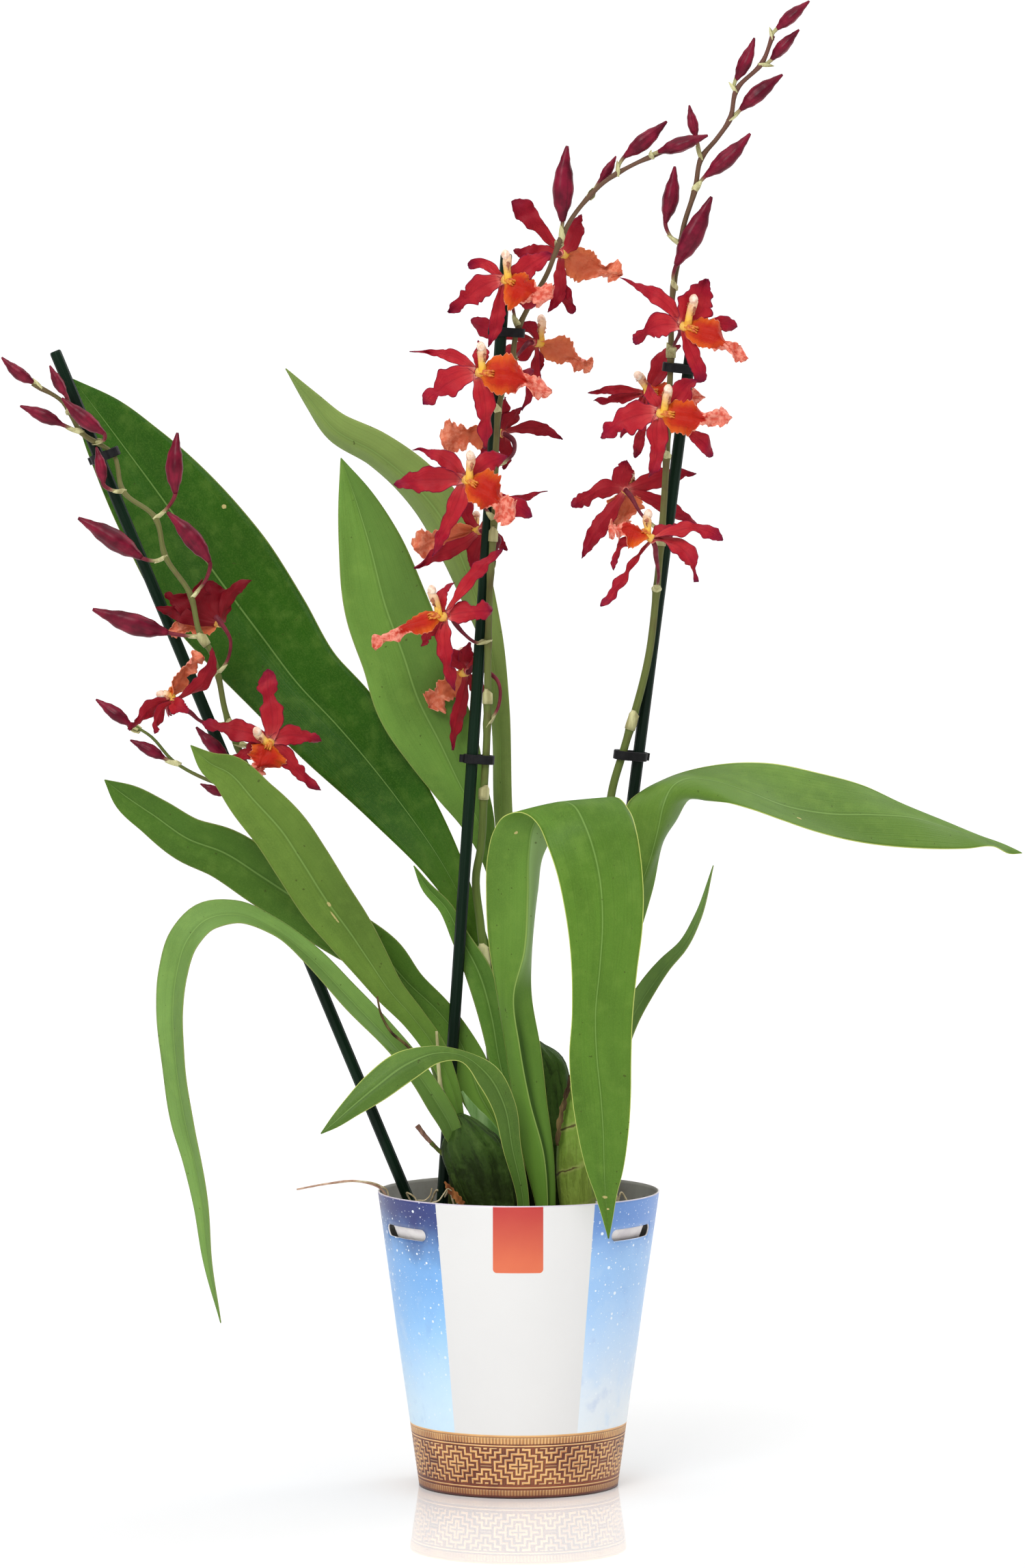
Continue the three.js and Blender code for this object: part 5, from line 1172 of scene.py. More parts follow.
def add_tepal(sheet, centre, look, row, rng):
    """A tepal, a row of the table. One without a kind takes any of four."""
    reach, half = np.array(row[:3], float), row[3]
    kind, side, rise = row[4:] or (rng.choice("LSPT"), rng.uniform(-2, 2), rng.uniform(-2, 2))
    size = float(np.linalg.norm(reach))
    bulge = centre + 0.5 * reach + look * rng.uniform(0.8, 2.8) + 2 * np.array([side, 0.0, rise])
    path, across, normal = petal_frames(
        centre + unit(reach) * 0.3, bulge, centre + reach, look, TEPAL_ROWS, 0.6, rng.uniform(-0.5, 0.5))
    s = np.linspace(0, 1, TEPAL_ROWS)
    sway = rng.uniform(-0.9, 0.9)
    path = path + across * (sway * np.sin(CYCLE * s))[:, None]
    sides = []
    for _ in range(2):
        late = np.clip(s + rng.uniform(-0.05, 0.05) * np.sin(3.14 * s), 0, 1)
        width = half * 1.04 * rng.uniform(0.93, 1.07) * through(late, OUTLINES[kind])
        sides.append(width * margin(s, size, RUFFLE[kind], rng))
    wave, curl, roll = rng.uniform(0.8, 1.7), rng.uniform(-4.5, 1.5), rng.uniform(-0.4, 0.16) * half
    p, q, r = (rng.uniform(0, CYCLE) for _ in range(3))

    def lift(u, t):
        side = np.where(u < 0, p, q)
        grow = through(t, [(0, 0), (0.3, 0.45), (0.7, 1), (1, 0.7)])
        channel = 0.26 * half * np.abs(u) ** 1.4 * (1 - 0.9 * t) + roll * np.abs(u) ** 2 * t
        ripple = wave * np.abs(u) ** 1.6 * grow * np.sin(CYCLE * size / 12 * t + side)
        crimp = 0.22 * wave * np.abs(u) ** 2.4 * grow * np.sin(CYCLE * size / 5.2 * t + 2 * side)
        dent = 0.4 * grow * np.sin(CYCLE * size / 9 * t + r + 2 * u)
        return channel + ripple + crimp + dent + curl * t ** 4 - 0.4 * np.exp(-((u * 4) ** 2)) * (1 - 0.7 * t)

    add_blade(sheet, path, across, normal, sides[0], sides[1], lift, (0.2, 0.55), 12)


def add_lip(sheet, root, centre, look, row, rng):
    """A lip: its body and its end lobe on one blade. It gives back its line and frames for the callus."""
    reach, half, end = np.array(row[:3], float), row[3], row[4]
    side, rise = row[5:] or (0.0, 0.0)
    bulge = centre + 0.45 * reach + look * 6 + 2 * np.array([side, 0.0, rise])
    path, across, normal = petal_frames(root, bulge, centre + 1.04 * reach, look, LIP_ROWS, 0.75)
    s = np.linspace(0, 1, LIP_ROWS)
    body = 1.04 if end < 1.6 else 0.75
    outline = half * through(s, [(at, wide * (body if at < LIP_WAIST else end)) for at, wide in LIP_OUTLINE])
    a, b, c, d = (rng.uniform(0, CYCLE) for _ in range(4))
    grow = through(s, [(0, 0), (0.2, 0.9), (0.5, 1.35), (0.68, 1.6), (0.85, 2.6), (1, 3.0)])
    waves = ((0.055, 4.2, 1), (0.045, 12, 2), (0.02, 21, 3))
    frill = [1 + grow * sum(high * np.sin(CYCLE * beats * s + k * start) for high, beats, k in waves)
             for start in (a, b)]
    lean = 1 + 0.34 * math.sin(c) * through(s, [(0, 0), (0.35, 1), (0.62, 0.2), (1, 0)])
    path = path + across * (half * 0.5 * math.cos(c) * through(s, [(0, 0), (0.5, 0), (1, 1)]))[:, None]

    def lift(u, t):
        side = np.where(u < 0, a, b + 2)
        more = through(t, [(0, 0), (0.25, 0.3), (0.55, 0.8), (0.85, 1.5), (1, 1.3)])
        drape = -0.34 * half * np.abs(u) ** 1.7 * through(t, [(0, 0.3), (0.25, 1.1), (0.6, 1.0), (1, 0.2)])
        ruffle = 0.29 * half * np.abs(u) ** 1.8 * more * np.sin(CYCLE * 3.2 * t + side)
        crimp = 0.08 * half * np.abs(u) ** 2.6 * more * np.sin(CYCLE * 9.5 * t + 2 * side)
        fold = 0.14 * half * more * np.sin(CYCLE * 1.7 * t + d + 3 * u)
        keel = 0.9 * np.exp(-(((np.abs(u) - 0.14) / 0.09) ** 2))
        keel = keel * through(t, [(0, 0.5), (0.12, 1), (0.3, 0), (1, 0)])
        crease = -0.12 * half * np.exp(-((u / 0.16) ** 2)) * through(t, [(0, 0), (0.3, 1), (1, 1)])
        return drape + ruffle + crimp + fold + keel + crease

    left, right = outline * frill[0] * lean, outline * frill[1] * (2 - lean)
    add_blade(sheet, path, across, normal, left, right, lift, (0.22, 0.6), 24)
    return path, across, normal


def add_column(sheet, centre, root, tip, look):
    """The column: a stout post with a swollen shoulder, two small wings and a pale cap."""
    waist = root * 0.5 + tip * 0.5 - look * 0.5
    way = smooth([centre + look * 0.4, root, waist, tip], 20)
    t = np.linspace(0, 1, 20)
    size = float(np.linalg.norm(tip - centre))
    swell = through(t, [(0, 2.3), (0.25, 1.9), (0.5, 1.75), (0.78, 2.25), (1, 1.9)])
    add_tube(sheet, way, swell, 18, start=look, uv_length=size)
    along, side, _ = frames(way, start=look)
    front = side[-1]
    cap = [(-1.4, 0.3, 1.4), (-0.4, 0.7, 2.1), (0.8, 1, 2.2), (1.9, 1.1, 1.8), (2.7, 1, 1.1), (3.1, 0.9, 0.2)]
    add_tube(sheet, [tip + along[-1] * x + front * y for x, y, _ in cap], [r for _, _, r in cap], 16, slot=1)
    for sign in (-1, 1):
        arm = np.cross(along[-5], side[-5]) * sign
        wing = [way[i] + arm * far for i, far in ((-9, 1.2), (-8, 2.0), (-6, 2.7), (-4, 2.5))]
        wing[-1] = wing[-1] + front * 0.9
        wing = smooth(wing, 9)
        ahead = unit(np.gradient(wing, axis=0))
        flat = np.repeat(along[-5][None], 9, 0)
        flat = unit(flat - ahead * np.sum(flat * ahead, 1)[:, None])
        width = 1.5 * through(np.linspace(0, 1, 9), [(0, 0.7), (0.5, 1), (1, 0.3)])
        add_blade(sheet, wing, flat, np.cross(ahead, flat), width, width,
                  lambda u, t: 0.3 * u * u + 0.25 * np.sin(9 * t + 3 * u), (0.2, 0.35), 6, slots=(3, 3))


def add_callus(sheet, path, across, normal, look):
    """Three yellow ridges at the foot of the lip, the side ones with a knob at their ends."""
    sign = 1 if np.dot(normal[6], look) > 0 else -1
    for shift in (-1.0, 0.0, 1.0):
        knob, end = (0.9, 1.3) if shift else (1.5, 0.8)
        heights = ((1, 0.4), (3, 1.0), (6, 1.3), (9, knob), (11, end), (13, 0.1))
        ridge = [path[i] + across[i] * shift * (0.4 + i / 14) + normal[i] * sign * h for i, h in heights]
        bumps = 1 + 0.25 * np.sin(np.arange(18) * 1.3 + shift)
        swell = through(np.linspace(0, 1, 18), [(0, 0.5), (0.3, 0.8), (0.8, 0.6), (1, 0.15)]) * bumps
        add_tube(sheet, smooth(ridge, 18), swell, 10, slot=2)


def make_bloom(name, row, seed):
    rng = random.Random(seed)
    centre, look = np.array(row["at"], float), unit(row["face"])
    star, lip, post = Sheet(), Sheet(), Sheet()
    add_tube(star, [centre - look * d for d in (1.6, 0.5, -0.5, -1.0)], [1.1, 1.9, 1.8, 0.6], 14)
    for tepal in row["tepals"]:
        add_tepal(star, centre, look, tepal, rng)
    paint = tepal_paint("tepal_wine_and_shade_" + name, row["deep"]) if "deep" in row else PAINT["tepal"]
    obj = star.make("bloom_%s_tepal_star" % name, [paint])
    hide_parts("bloom_%s_tepals" % name)

    root = centre + look * 1.4
    path, across, normal = add_lip(lip, root, centre, look, row["lip"], rng)
    obj = lip.make("bloom_%s_lip_blade" % name, [PAINT["lip"]])
    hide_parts("bloom_%s_lip" % name)

    tip = centre + np.array(row["column"], float)
    add_column(post, centre, root + unit(np.array(row["lip"][:3], float)) * 1.6, tip, look)
    add_callus(post, path, across, normal, look)
    obj = post.make("bloom_%s_column" % name, [PAINT[key] for key in ("column", "cap", "callus", "wing")])


for number, (name, row) in enumerate(BLOOMS.items()):
    make_bloom(name, row, 300 + number)

# The card sleeve.
def around(angle, radius, z):
    """A point by its angle in radians from the front, positive to the right."""
    return np.stack(np.broadcast_arrays(radius * np.sin(angle), -radius * np.cos(angle), z), axis=-1)


def stepped(p, a, h, steps, size):
    """Distance outside a stair-edged block: 0 on its outline, falling inside and rising outside."""
    far = None
    for j in range(steps + 1):
        box = p.math("MAXIMUM", p.minus(a, (steps - j) * size), p.minus(h, j * size))
        far = box if far is None else p.math("MINIMUM", far, box)
    return far


def between(p, value, low, high):
    return p.times(p.math("GREATER_THAN", value, low), p.math("LESS_THAN", value, high))


def band_relief(p, across, high):
    """The raised ornament of the foot band: stair-edged lines in lines, between toothed strips."""
    tile = p.math("PINGPONG", across, TILE)
    tall = p.math("ABSOLUTE", p.minus(high, FIELD_MIDDLE))
    centre = stepped(p, tile, tall, 3, 3.1)
    corner = stepped(p, p.minus(TILE, tile), p.minus(FIELD_HALF, tall), 2, 2.6)
    lines = p.math("PINGPONG", p.plus(p.math("MINIMUM", centre, corner), 20.9), 1.1)
    body = p.times(p.step(lines, 0.3, 0.7), p.math("LESS_THAN", tall, FIELD_HALF))
    tooth = p.scaled(p.step(p.math("PINGPONG", across, 0.8), 0.62, 0.2), 0.5, 0.5)
    teeth = ((27.4, 30.6, tooth), (1.4, 4.2, tooth))
    rules = ((26.0, 26.8, 1.0), (5.0, 5.8, 1.0), (30.9, BAND_TOP, 1.0))
    for low, top, value in teeth + rules:
        body = p.math("MAXIMUM", body, p.times(between(p, high, low, top), value))
    return body


def sky_print(p, angle, high):
    """Speckled sky: pale low down and deep blue at the rim, bluer on the left side than on the right."""
    cloud = p.noise(p.place(), 16.0, 4.0)
    wash = p.noise(p.place(), 75.0, 4.0)
    side = p.step(p.math("SINE", p.times(angle, math.pi / 180)), -0.86, 0.86)
    low = p.mix(side, rgb(196, 222, 240), rgb(222, 228, 232))
    middle = p.mix(side, rgb(142, 192, 238), rgb(170, 202, 236))
    upper = p.mix(side, rgb(92, 150, 214), rgb(132, 178, 228))
    top = p.mix(side, rgb(36, 46, 110), rgb(100, 142, 206))
    tall = p.plus(high, p.plus(p.vary(cloud, -17.0, 17.0), p.vary(wash, -8.0, 8.0)))
    sky = p.mix(p.step(tall, 34.0, 92.0), low, middle)
    sky = p.over(sky, (upper, p.step(tall, 74.0, 112.0), 0.6))
    sky = p.mix(p.step(tall, 112.0, 142.0), sky, top)
    sky = p.over(
        sky,
        (rgb(186, 210, 234), p.times(p.step(wash, 0.52, 0.75), p.step(high, 128.0, 100.0)), 0.4),
        (rgb(92, 140, 206), p.step(wash, 0.45, 0.25), 0.25),
    )
    flat = p.join(p.times(angle, SKY_RADIUS * math.pi / 180), high)
    for cell, least, most, share in ((5.6, 0.02, 0.15, 0.95), (3.1, 0.02, 0.13, 0.6)):
        far, tint = p.put("TexVoronoi", flat, None, 1 / cell, out=slice(2), voronoi_dimensions="2D")
        chance = p.split(tint)[0]
        radius = p.vary(p.times(chance, chance, chance), least, most)
        star = p.step(p.minus(far, radius), 0.03, -0.02)
        sky = p.mix(p.times(star, p.times(p.step(high, -20.0, 130.0), share)), sky, rgb(232, 238, 244))
    return sky


def band_print(p, gold, turn, high):
    """Bronze foil on brown, with a painted highlight along the top of each raised line, painted shade along
    its foot and a painted shadow on the brown just below it.
    """
    # The relief shifted up and down: on the foil a painted highlight where it ends just above and painted
    # shade where it ends just below; on the brown under a line, a painted shadow.
    above = band_relief(p, p.plus(turn, -RELIEF_SHIFT), p.plus(high, RELIEF_SHIFT))
    below = band_relief(p, p.plus(turn, RELIEF_SHIFT), p.plus(high, -RELIEF_SHIFT))
    patina = p.noise(p.place(), 60.0)
    brown = p.mix(p.step(patina, 0.35, 0.65), rgb(92, 34, 20), rgb(140, 72, 42))
    brown = p.over(brown, (rgb(52, 20, 12), above, 0.6))
    foil = p.mix(p.noise(p.place(), 260.0), rgb(202, 132, 68), rgb(242, 196, 128))
    foil = p.over(
        foil,
        (rgb(164, 88, 46), p.step(patina, 0.55, 0.35), 0.6),
        (rgb(255, 224, 164), p.minus(1.0, above), 0.7),
        (rgb(150, 80, 42), p.minus(1.0, below), 0.65),
    )
    return p.over(
        p.mix(gold, brown, foil),
        (rgb(104, 40, 26), p.step(high, 9.0, 1.0), 0.5),
        (rgb(216, 168, 112), p.step(high, 29.0, BAND_TOP), 0.55),
    )


def card_paint():
    """Printed card: a white panel and plain tag front and back, speckled sky between, and the foot band."""
    p = Paint("printed_card", roughness=0.42, coat=0.15, specular=0.4)
    u, v = p.uv()
    angle = p.vary(u, -180.0, 180.0)
    high = p.times(v, SLEEVE_HEIGHT)
    front = p.minus(angle, p.times(p.math("ROUND", p.math("DIVIDE", angle, 180.0)), 180.0))
    across = p.times(front, p.vary(v, SLEEVE_FOOT_RADIUS, SLEEVE_TOP_RADIUS), math.pi / 180)
    white = p.math("LESS_THAN", p.math("ABSOLUTE", p.plus(front, 1.7)), PANEL_HALF)
    paper = p.mix(p.noise(p.place(), 16.0, 4.0), rgb(212, 211, 210), rgb(218, 217, 215))
    colour = p.mix(white, sky_print(p, angle, high), paper)
    ax = p.math("MAXIMUM", p.minus(p.math("ABSOLUTE", p.plus(across, 0.3)), TAG_HALF - TAG_CORNER), 0.0)
    az = p.math("MAXIMUM", p.minus(TAG_FOOT + TAG_CORNER, high), 0.0)
    tag = p.math("LESS_THAN", p.math("SQRT", p.plus(p.times(ax, ax), p.times(az, az))), TAG_CORNER)
    fade = p.plus(p.step(high, 110.0, 150.0), p.vary(p.noise(p.place(), 75.0, 4.0), -0.12, 0.12))
    colour = p.mix(tag, colour, p.ramp(fade, (0.0, rgb(212, 104, 66)), (1.0, rgb(180, 46, 42))))
    turn = p.times(angle, TILE / TILE_DEGREES)
    gold = band_relief(p, turn, high)
    in_band = p.math("LESS_THAN", high, BAND_TOP)
    colour = p.mix(in_band, colour, band_print(p, gold, turn, high))
    colour = p.mix(p.math("LESS_THAN", high, 0.8), colour, rgb(64, 30, 22))
    colour = p.mix(p.step(high, 146.2, 146.9), colour, rgb(206, 196, 214))
    relief = p.scaled(p.noise(p.place(), 900.0, 2.0), 0.06, p.times(gold, in_band))
    rough = p.scaled(p.times(in_band, p.noise(p.place(), 260.0)), 0.2, 0.36)
    return p.done(colour, rough, relief, 0.0005)


def slot_spans():
    """The two ends of each hand slot, in degrees."""
    for face in (0, 180):
        for sign in (-1, 1):
            yield sorted((face + sign * SLOT_FROM, face + sign * SLOT_TO))


def slot_height(angle):
    """Half the height of the hand slots at an angle in degrees from the front, 0 away from them."""
    from_face = min(abs(angle), 180 - abs(angle))
    inside = min(from_face - SLOT_FROM, SLOT_TO - from_face)
    if inside <= 0:
        return 0.0
    return SLOT_HEIGHT / 2 * math.sqrt(max(0.0, 1 - max(0.0, 1 - inside / SLOT_END) ** 2))


def sleeve_angles():
    """Where the sleeve's wall has its columns: every 1.5 degrees, closer at the round ends of the slots."""
    angles = set(np.round(np.arange(-180, 180, 1.5), 4).tolist())
    for low, high in slot_spans():
        for turn in (-360, 0, 360):
            first, last = low + turn, high + turn
            angles = {
                a for a in angles
                if not (first - 0.9 < a < first + SLOT_END + 0.5 or last - SLOT_END - 0.5 < a < last + 0.9)
            }
        for step in range(7):
            part = SLOT_END * (1 - math.cos(math.radians(15 * step)))
            angles |= {round((a + 180) % 360 - 180, 4) for a in (low + part, high - part)}
    return np.array(sorted(angles))


def cone(z):
    return SLEEVE_FOOT_RADIUS + (SLEEVE_TOP_RADIUS - SLEEVE_FOOT_RADIUS) * z / SLEEVE_HEIGHT


def make_sleeve():
    angles = sleeve_angles()
    gap = np.array([slot_height(a) for a in angles])
    gap[gap < 0.05] = 0
    low = [0 * gap + z for z in (0, 2, 6, 12, 20, 30, 32, 44, 56, 68, 80, 92, 104, 112, 118, 122, 125)]
    high = [0 * gap + z for z in (135, 138, 142, 145.4, SLEEVE_HEIGHT)]
    z = np.array([*low, SLOT_Z - gap, SLOT_Z + gap, *high])
    turn = np.radians(angles)
    away = [(angles - at + 180) % 360 - 180 for at in (96, -96)]
    folds = sum(0.5 * np.exp(-((a / 3.0) ** 2))[None, :] for a in away)
    sag = 0.25 * np.sin(3 * turn + 0.6)[None, :] * np.sin(np.pi * z / SLEEVE_HEIGHT)
    radius = cone(z) + (folds + sag) * np.sin(np.pi * np.clip(z / SLEEVE_HEIGHT, 0.02, 0.98)) - 0.05
    uv = np.stack([np.broadcast_to((angles / 360 + 0.5)[None, :], z.shape), z / SLEEVE_HEIGHT], axis=2)
    sheet = Sheet()
    sheet.points = [around(turn[None, :], r, z).reshape(-1, 3) for r in (radius, radius - CARD)]
    count, last, slots = len(angles), len(z) - 1, len(low)
    inside = len(z) * count
    edge = [(0.5, 0.995)] * 4
    for r in range(last):
        if r == slots:
            continue
        for c in range(count):
            d = (c + 1) % count
            quad = [(r, c), (r, d), (r + 1, d), (r + 1, c)]
            uvs = [[uv[a][b][0] + (1.0 if d == 0 and b == 0 else 0.0), uv[a][b][1]] for a, b in quad]
            sheet.face([a * count + b for a, b in quad], uvs, 0)
            sheet.face([inside + a * count + b for a, b in quad][::-1], uvs[::-1], 1)

    def rim(row, a, b):
        base = row * count
        sheet.face([base + a, base + b, inside + base + b, inside + base + a], edge, 2)

    for c in range(count):
        d = (c + 1) % count
        rim(last, c, d)
        sheet.face([c, inside + c, inside + d, d], edge, 2)
        if gap[c] > 0 or gap[d] > 0:
            rim(slots, c, d)
            rim(slots + 1, d, c)
    floor = SLEEVE_FOOT_RADIUS - CARD
    disc = [
        (0.01, 0.35), (floor - 0.3, 0.35), (floor - 0.05, 0.6), (floor - 0.1, 1.0), (floor - 0.5, 1.2),
        (0.01, 1.2),
    ]
    lathe(sheet, disc, 96, slot=1)
    for face in (0, 180):
        for sign in (-1, 1):
            reach = np.radians(face + sign * np.linspace(SLOT_FROM - 1.0, SLOT_TO - 4.5, 22))
            tall = np.linspace(SLOT_Z - 4.4, SLOT_Z + 3.4, 6)
            back = cone(tall) - CARD - 0.7 - 0.25 * (SLOT_Z + 3.4 - tall)
            tab = around(reach[None, :], back[:, None], tall[:, None])
            add_skin(sheet, tab, np.linspace(-1, 1, 22), (0.5, 0.5), (2, 2))
    obj = sheet.make("sleeve_card", [card_paint(), PAINT["card_inside"], PAINT["card_edge"]], weld=0.004)
    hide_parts("cover_sleeve")


make_sleeve()


# The culture pot, its bark and the pseudobulbs.
def make_culture_pot():
    low, wall, lip = FLOOR_CARD + 0.15, 0.9, POT_HEIGHT
    foot, top, flange = POT_FOOT_RADIUS, POT_TOP_RADIUS, POT_FLANGE
    profile = [
        (0.01, low + 0.8), (30, low + 0.8), (33, low), (foot - 1.2, low), (foot, low + 1.2), (46.2, 22),
        (46.8, 22.6), (top - 1.2, lip - 12), (top - 0.2, lip - 11.4), (top, lip - 3.6),
        (flange - 0.6, lip - 3.6), (flange, lip - 3.0), (flange, lip - 0.9), (flange - 0.3, lip - 0.25),
        (flange - 1.0, lip), (top - 0.6, lip), (top - 1.2, lip - 0.5), (top - 1.4, lip - 2),
        (top - 2.2, lip - 12), (46.4 - wall, 22), (foot - wall, low + 2), (foot - 2.5, low + 1.4),
        (0.01, low + 1.7),
    ]
    sheet = Sheet()

    def ripple(r, z, turn):
        wave = 0.12 * np.sin(5 * turn + 1) * (r > 50)
        return r + wave, z + 0.15 * np.sin(3 * turn) * (z > lip - 4)

    lathe(sheet, profile, 128, ripple=ripple)
    obj = sheet.make("culture_pot_shell", [PAINT["pot"]], weld=0.004)
    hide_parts("culture_pot")


def heap(far):
    """How much higher the bark lies near the pot's wall."""
    return 2.0 * min(1, max(0, (far - 43) / 7))


def make_medium():
    rng = random.Random(9)
    sheet = Sheet()
    count = 96
    turn = np.linspace(0, 2 * np.pi, count, endpoint=False)
    low = FLOOR_CARD + 3.2
    walls = ((0.5, low), (25, low), (42, low), (46.5, 40), (51, 80), (55, 120))
    rows = [np.stack([r * np.cos(turn), r * np.sin(turn), np.full(count, z)], axis=1) for r, z in walls]
    phase = [rng.uniform(0, CYCLE) for _ in range(12)]
    for r in (56.4, 55, 53, 51, 48.5, 46, 43, 39, 34, 29, 24, 18, 12, 6, 0.5):
        x, y = r * np.cos(turn), r * np.sin(turn)
        rough = 0.55 * np.sin(x / 2.3 + phase[0]) * np.sin(y / 2.7 + phase[1])
        rough = rough + 0.5 * np.sin(x / 4.1 + y / 3.7 + phase[2])
        rough = rough + 0.35 * np.sin(x / 1.3 - y / 1.9 + phase[3])
        rows.append(np.stack([x, y, MEDIUM_TOP - 0.5 + heap(r) + rough], axis=1))
    points = np.array(rows)
    uv = np.stack(np.meshgrid(turn / 6.2832, np.linspace(0, 1, len(rows))), axis=2)
    sheet.grid(points, uv, closed=True)
    for ring, flip in ((0, True), (len(rows) - 1, False)):
        ids = [ring * count + c for c in range(count)]
        sheet.face(ids[::-1] if flip else ids, [(0.5, 0.5)] * count)
    for _ in range(150):
        far = math.sqrt(rng.uniform(0.02, 1)) * 55
        way = rng.uniform(0, CYCLE)
        size = rng.uniform(2.2, 4.6)
        lean, spin = rng.uniform(-0.5, 0.5), rng.uniform(0, CYCLE)
        out = np.array([math.cos(spin), math.sin(spin), lean * 0.6])
        top = MEDIUM_TOP + heap(far) + rng.uniform(-0.6, 1.0) + (0.8 if far > 44 else 0)
        if far > 50:
            top = min(top, 133.6)
        middle = np.array([far * math.cos(way), far * math.sin(way), top])
        chip = ((-1, 0.35, 0.8), (-0.5, 0.62, 1.5), (0.5, 0.55, 1.3), (1, 0.3, 0.7))
        add_tube(sheet, [middle + out * size * at for at, _, _ in chip],
                 [(size * wide, deep) for _, wide, deep in chip], 6, slot=1)
    obj = sheet.make("bark_fill", [PAINT["soil"], PAINT["bark"]], smooth_faces=False)
    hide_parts("growing_medium")


# Each bulb: its rows as (point, half width, half depth), its ribs, their depth, its paint and its seed.
BULBS = {
    "bulb_left": ([
        (-13, -13, 129.6, 11.5, 7), (-13.5, -13, 141, 13.8, 8.6), (-17, -13, 153, 15.7, 9.7),
        (-21, -13, 164, 15.6, 10.2), (-25, -13.4, 172, 14, 9.4), (-27.5, -14, 179, 9.6, 7.4),
        (-29.2, -14.6, 183.4, 5.6, 4.8), (-30.2, -15, 186, 2.6, 2.6)], 8, 0.11, "bulb_dark", 3),
    "bulb_right": ([
        (29, -8, 129.6, 7.5, 6.5), (29, -8, 142, 9.1, 7.7), (28, -8, 155, 9.5, 8.2), (28, -8, 172, 9.1, 7.2),
        (27.5, -8, 188, 7.1, 5.2), (28, -8, 200.2, 3.6, 2.6)], 7, 0.05, "bulb_pale", 4),
    "bulb_back": ([
        (13, 20, 129.6, 9, 7), (13, 20, 142, 11.1, 8.6), (14, 20, 159, 13.6, 10.2), (15, 20, 186, 12.6, 9.2),
        (14.5, 20, 200, 11.2, 8.4), (13.3, 20, 207, 10.2, 7.8), (11, 20.3, 212.5, 7.4, 6.4),
        (9.5, 20.4, 216.5, 4.2, 4.6), (9, 20.5, 219, 2.0, 2.6)], 9, 0.08, "bulb_dark", 5),
}
# The rhizome, the root end that hangs over the rim and the other roots: points, count, first and last radius.
ROOTS = [
    ([(-14, -12, 134), (8, -10.5, 133.8), (28, -8, 134), (22, 8, 133.8), (13, 18, 134)], 44, 3.7, 3.5),
    ([(-30, -6, 131), (-44, -4, 132.5), (-56, -4.5, 137), (-64.6, -5, 143.5), (-69, -5.4, 149),
      (-73.6, -5.7, 150.9), (-81, -6, 152.2), (-95, -6, 150.8), (-110, -6, 148)], 60, 0.9, 0.45),
    ([(-6, -22, 131), (-14, -30, 135.5), (-26, -38, 133.5), (-34, -42, 131)], 26, 1.5, 1.2),
    ([(6, -20, 132), (14, -30, 136.5), (25, -37, 134.6), (30, -43, 131)], 26, 1.6, 1.2),
    ([(30, -16, 132), (36, -22, 136), (45, -24, 134), (48, -22, 131)], 24, 1.5, 1.1),
    ([(-30, -6, 132), (-38, 4, 135), (-42, 16, 134), (-44, 24, 131.5)], 24, 1.5, 1.1),
    ([(10, 30, 132), (-2, 38, 135.5), (-14, 42, 133.5), (-22, 43, 131)], 24, 1.6, 1.1),
    ([(24, 22, 132), (36, 26, 135.5), (43, 24, 134), (49, 18, 132)], 24, 1.4, 1.0),
]


def make_bulb(name, rows, ribs, depth, paint, seed):
    data = smooth(rows, 40)
    phase = random.Random(seed).uniform(0, CYCLE)

    def ribbed(turn, t):
        groove = (0.5 + 0.5 * np.cos(ribs * turn + phase + 0.7 * np.sin(5 * t + 2 * turn))) ** 2.5
        ends = np.sin(np.pi * np.clip(t, 0.02, 0.98)) ** 0.5
        return 1 - depth * groove * ends - 0.015 * np.sin(3 * turn + phase * 2 + 4 * t)

    sheet = Sheet()
    add_tube(sheet, data[:, :3], data[:, 3:5], 64, shape=ribbed)
    return sheet.make(name, [PAINT[paint]])


def make_bulbs():
    pieces = [make_bulb(name, *row) for name, row in BULBS.items()]
    sheet = Sheet()
    rng = random.Random(21)
    for k, (points, count, wide, thin) in enumerate(ROOTS):
        bumps = 1 + 0.05 * np.sin(np.arange(count) * 1.7 + rng.uniform(0, 6))
        add_tube(sheet, smooth(points, count), np.linspace(wide, thin, count) * bumps, 12, slot=int(k == 1))
    pieces.append(sheet.make("rhizome_and_roots", [PAINT["root"], PAINT["tendril"]]))
    for obj in pieces:
        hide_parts("pseudobulbs")


make_culture_pot()
make_medium()
make_bulbs()

# Dry and papery bits about the feet of the leaves: old sheaths, stubs and root ends.
# Each line: points, first and last radius, paint, places along it.
DRY_LINES = [
    ([(-69.5, -33, 246.5), (-68, -34, 239), (-63, -35, 229.5), (-54, -30.5, 221), (-49, -27, 213)],
     0.5, 0.9, 0, 22),
    ([(-40.5, -19, 228), (-40, -18.5, 221), (-39.5, -17, 210), (-38, -15.5, 197), (-35, -14, 186)],
     0.7, 1.3, 1, 22),
    ([(-50.3, -7, 180), (-46, -8, 174.5), (-41, -10, 169.5)], 1.35, 1.0, 5, 14),
    ([(-43.4, -9.4, 171.6), (-38, -10.5, 166.5), (-32, -12, 161)], 1.1, 1.0, 6, 12),
]
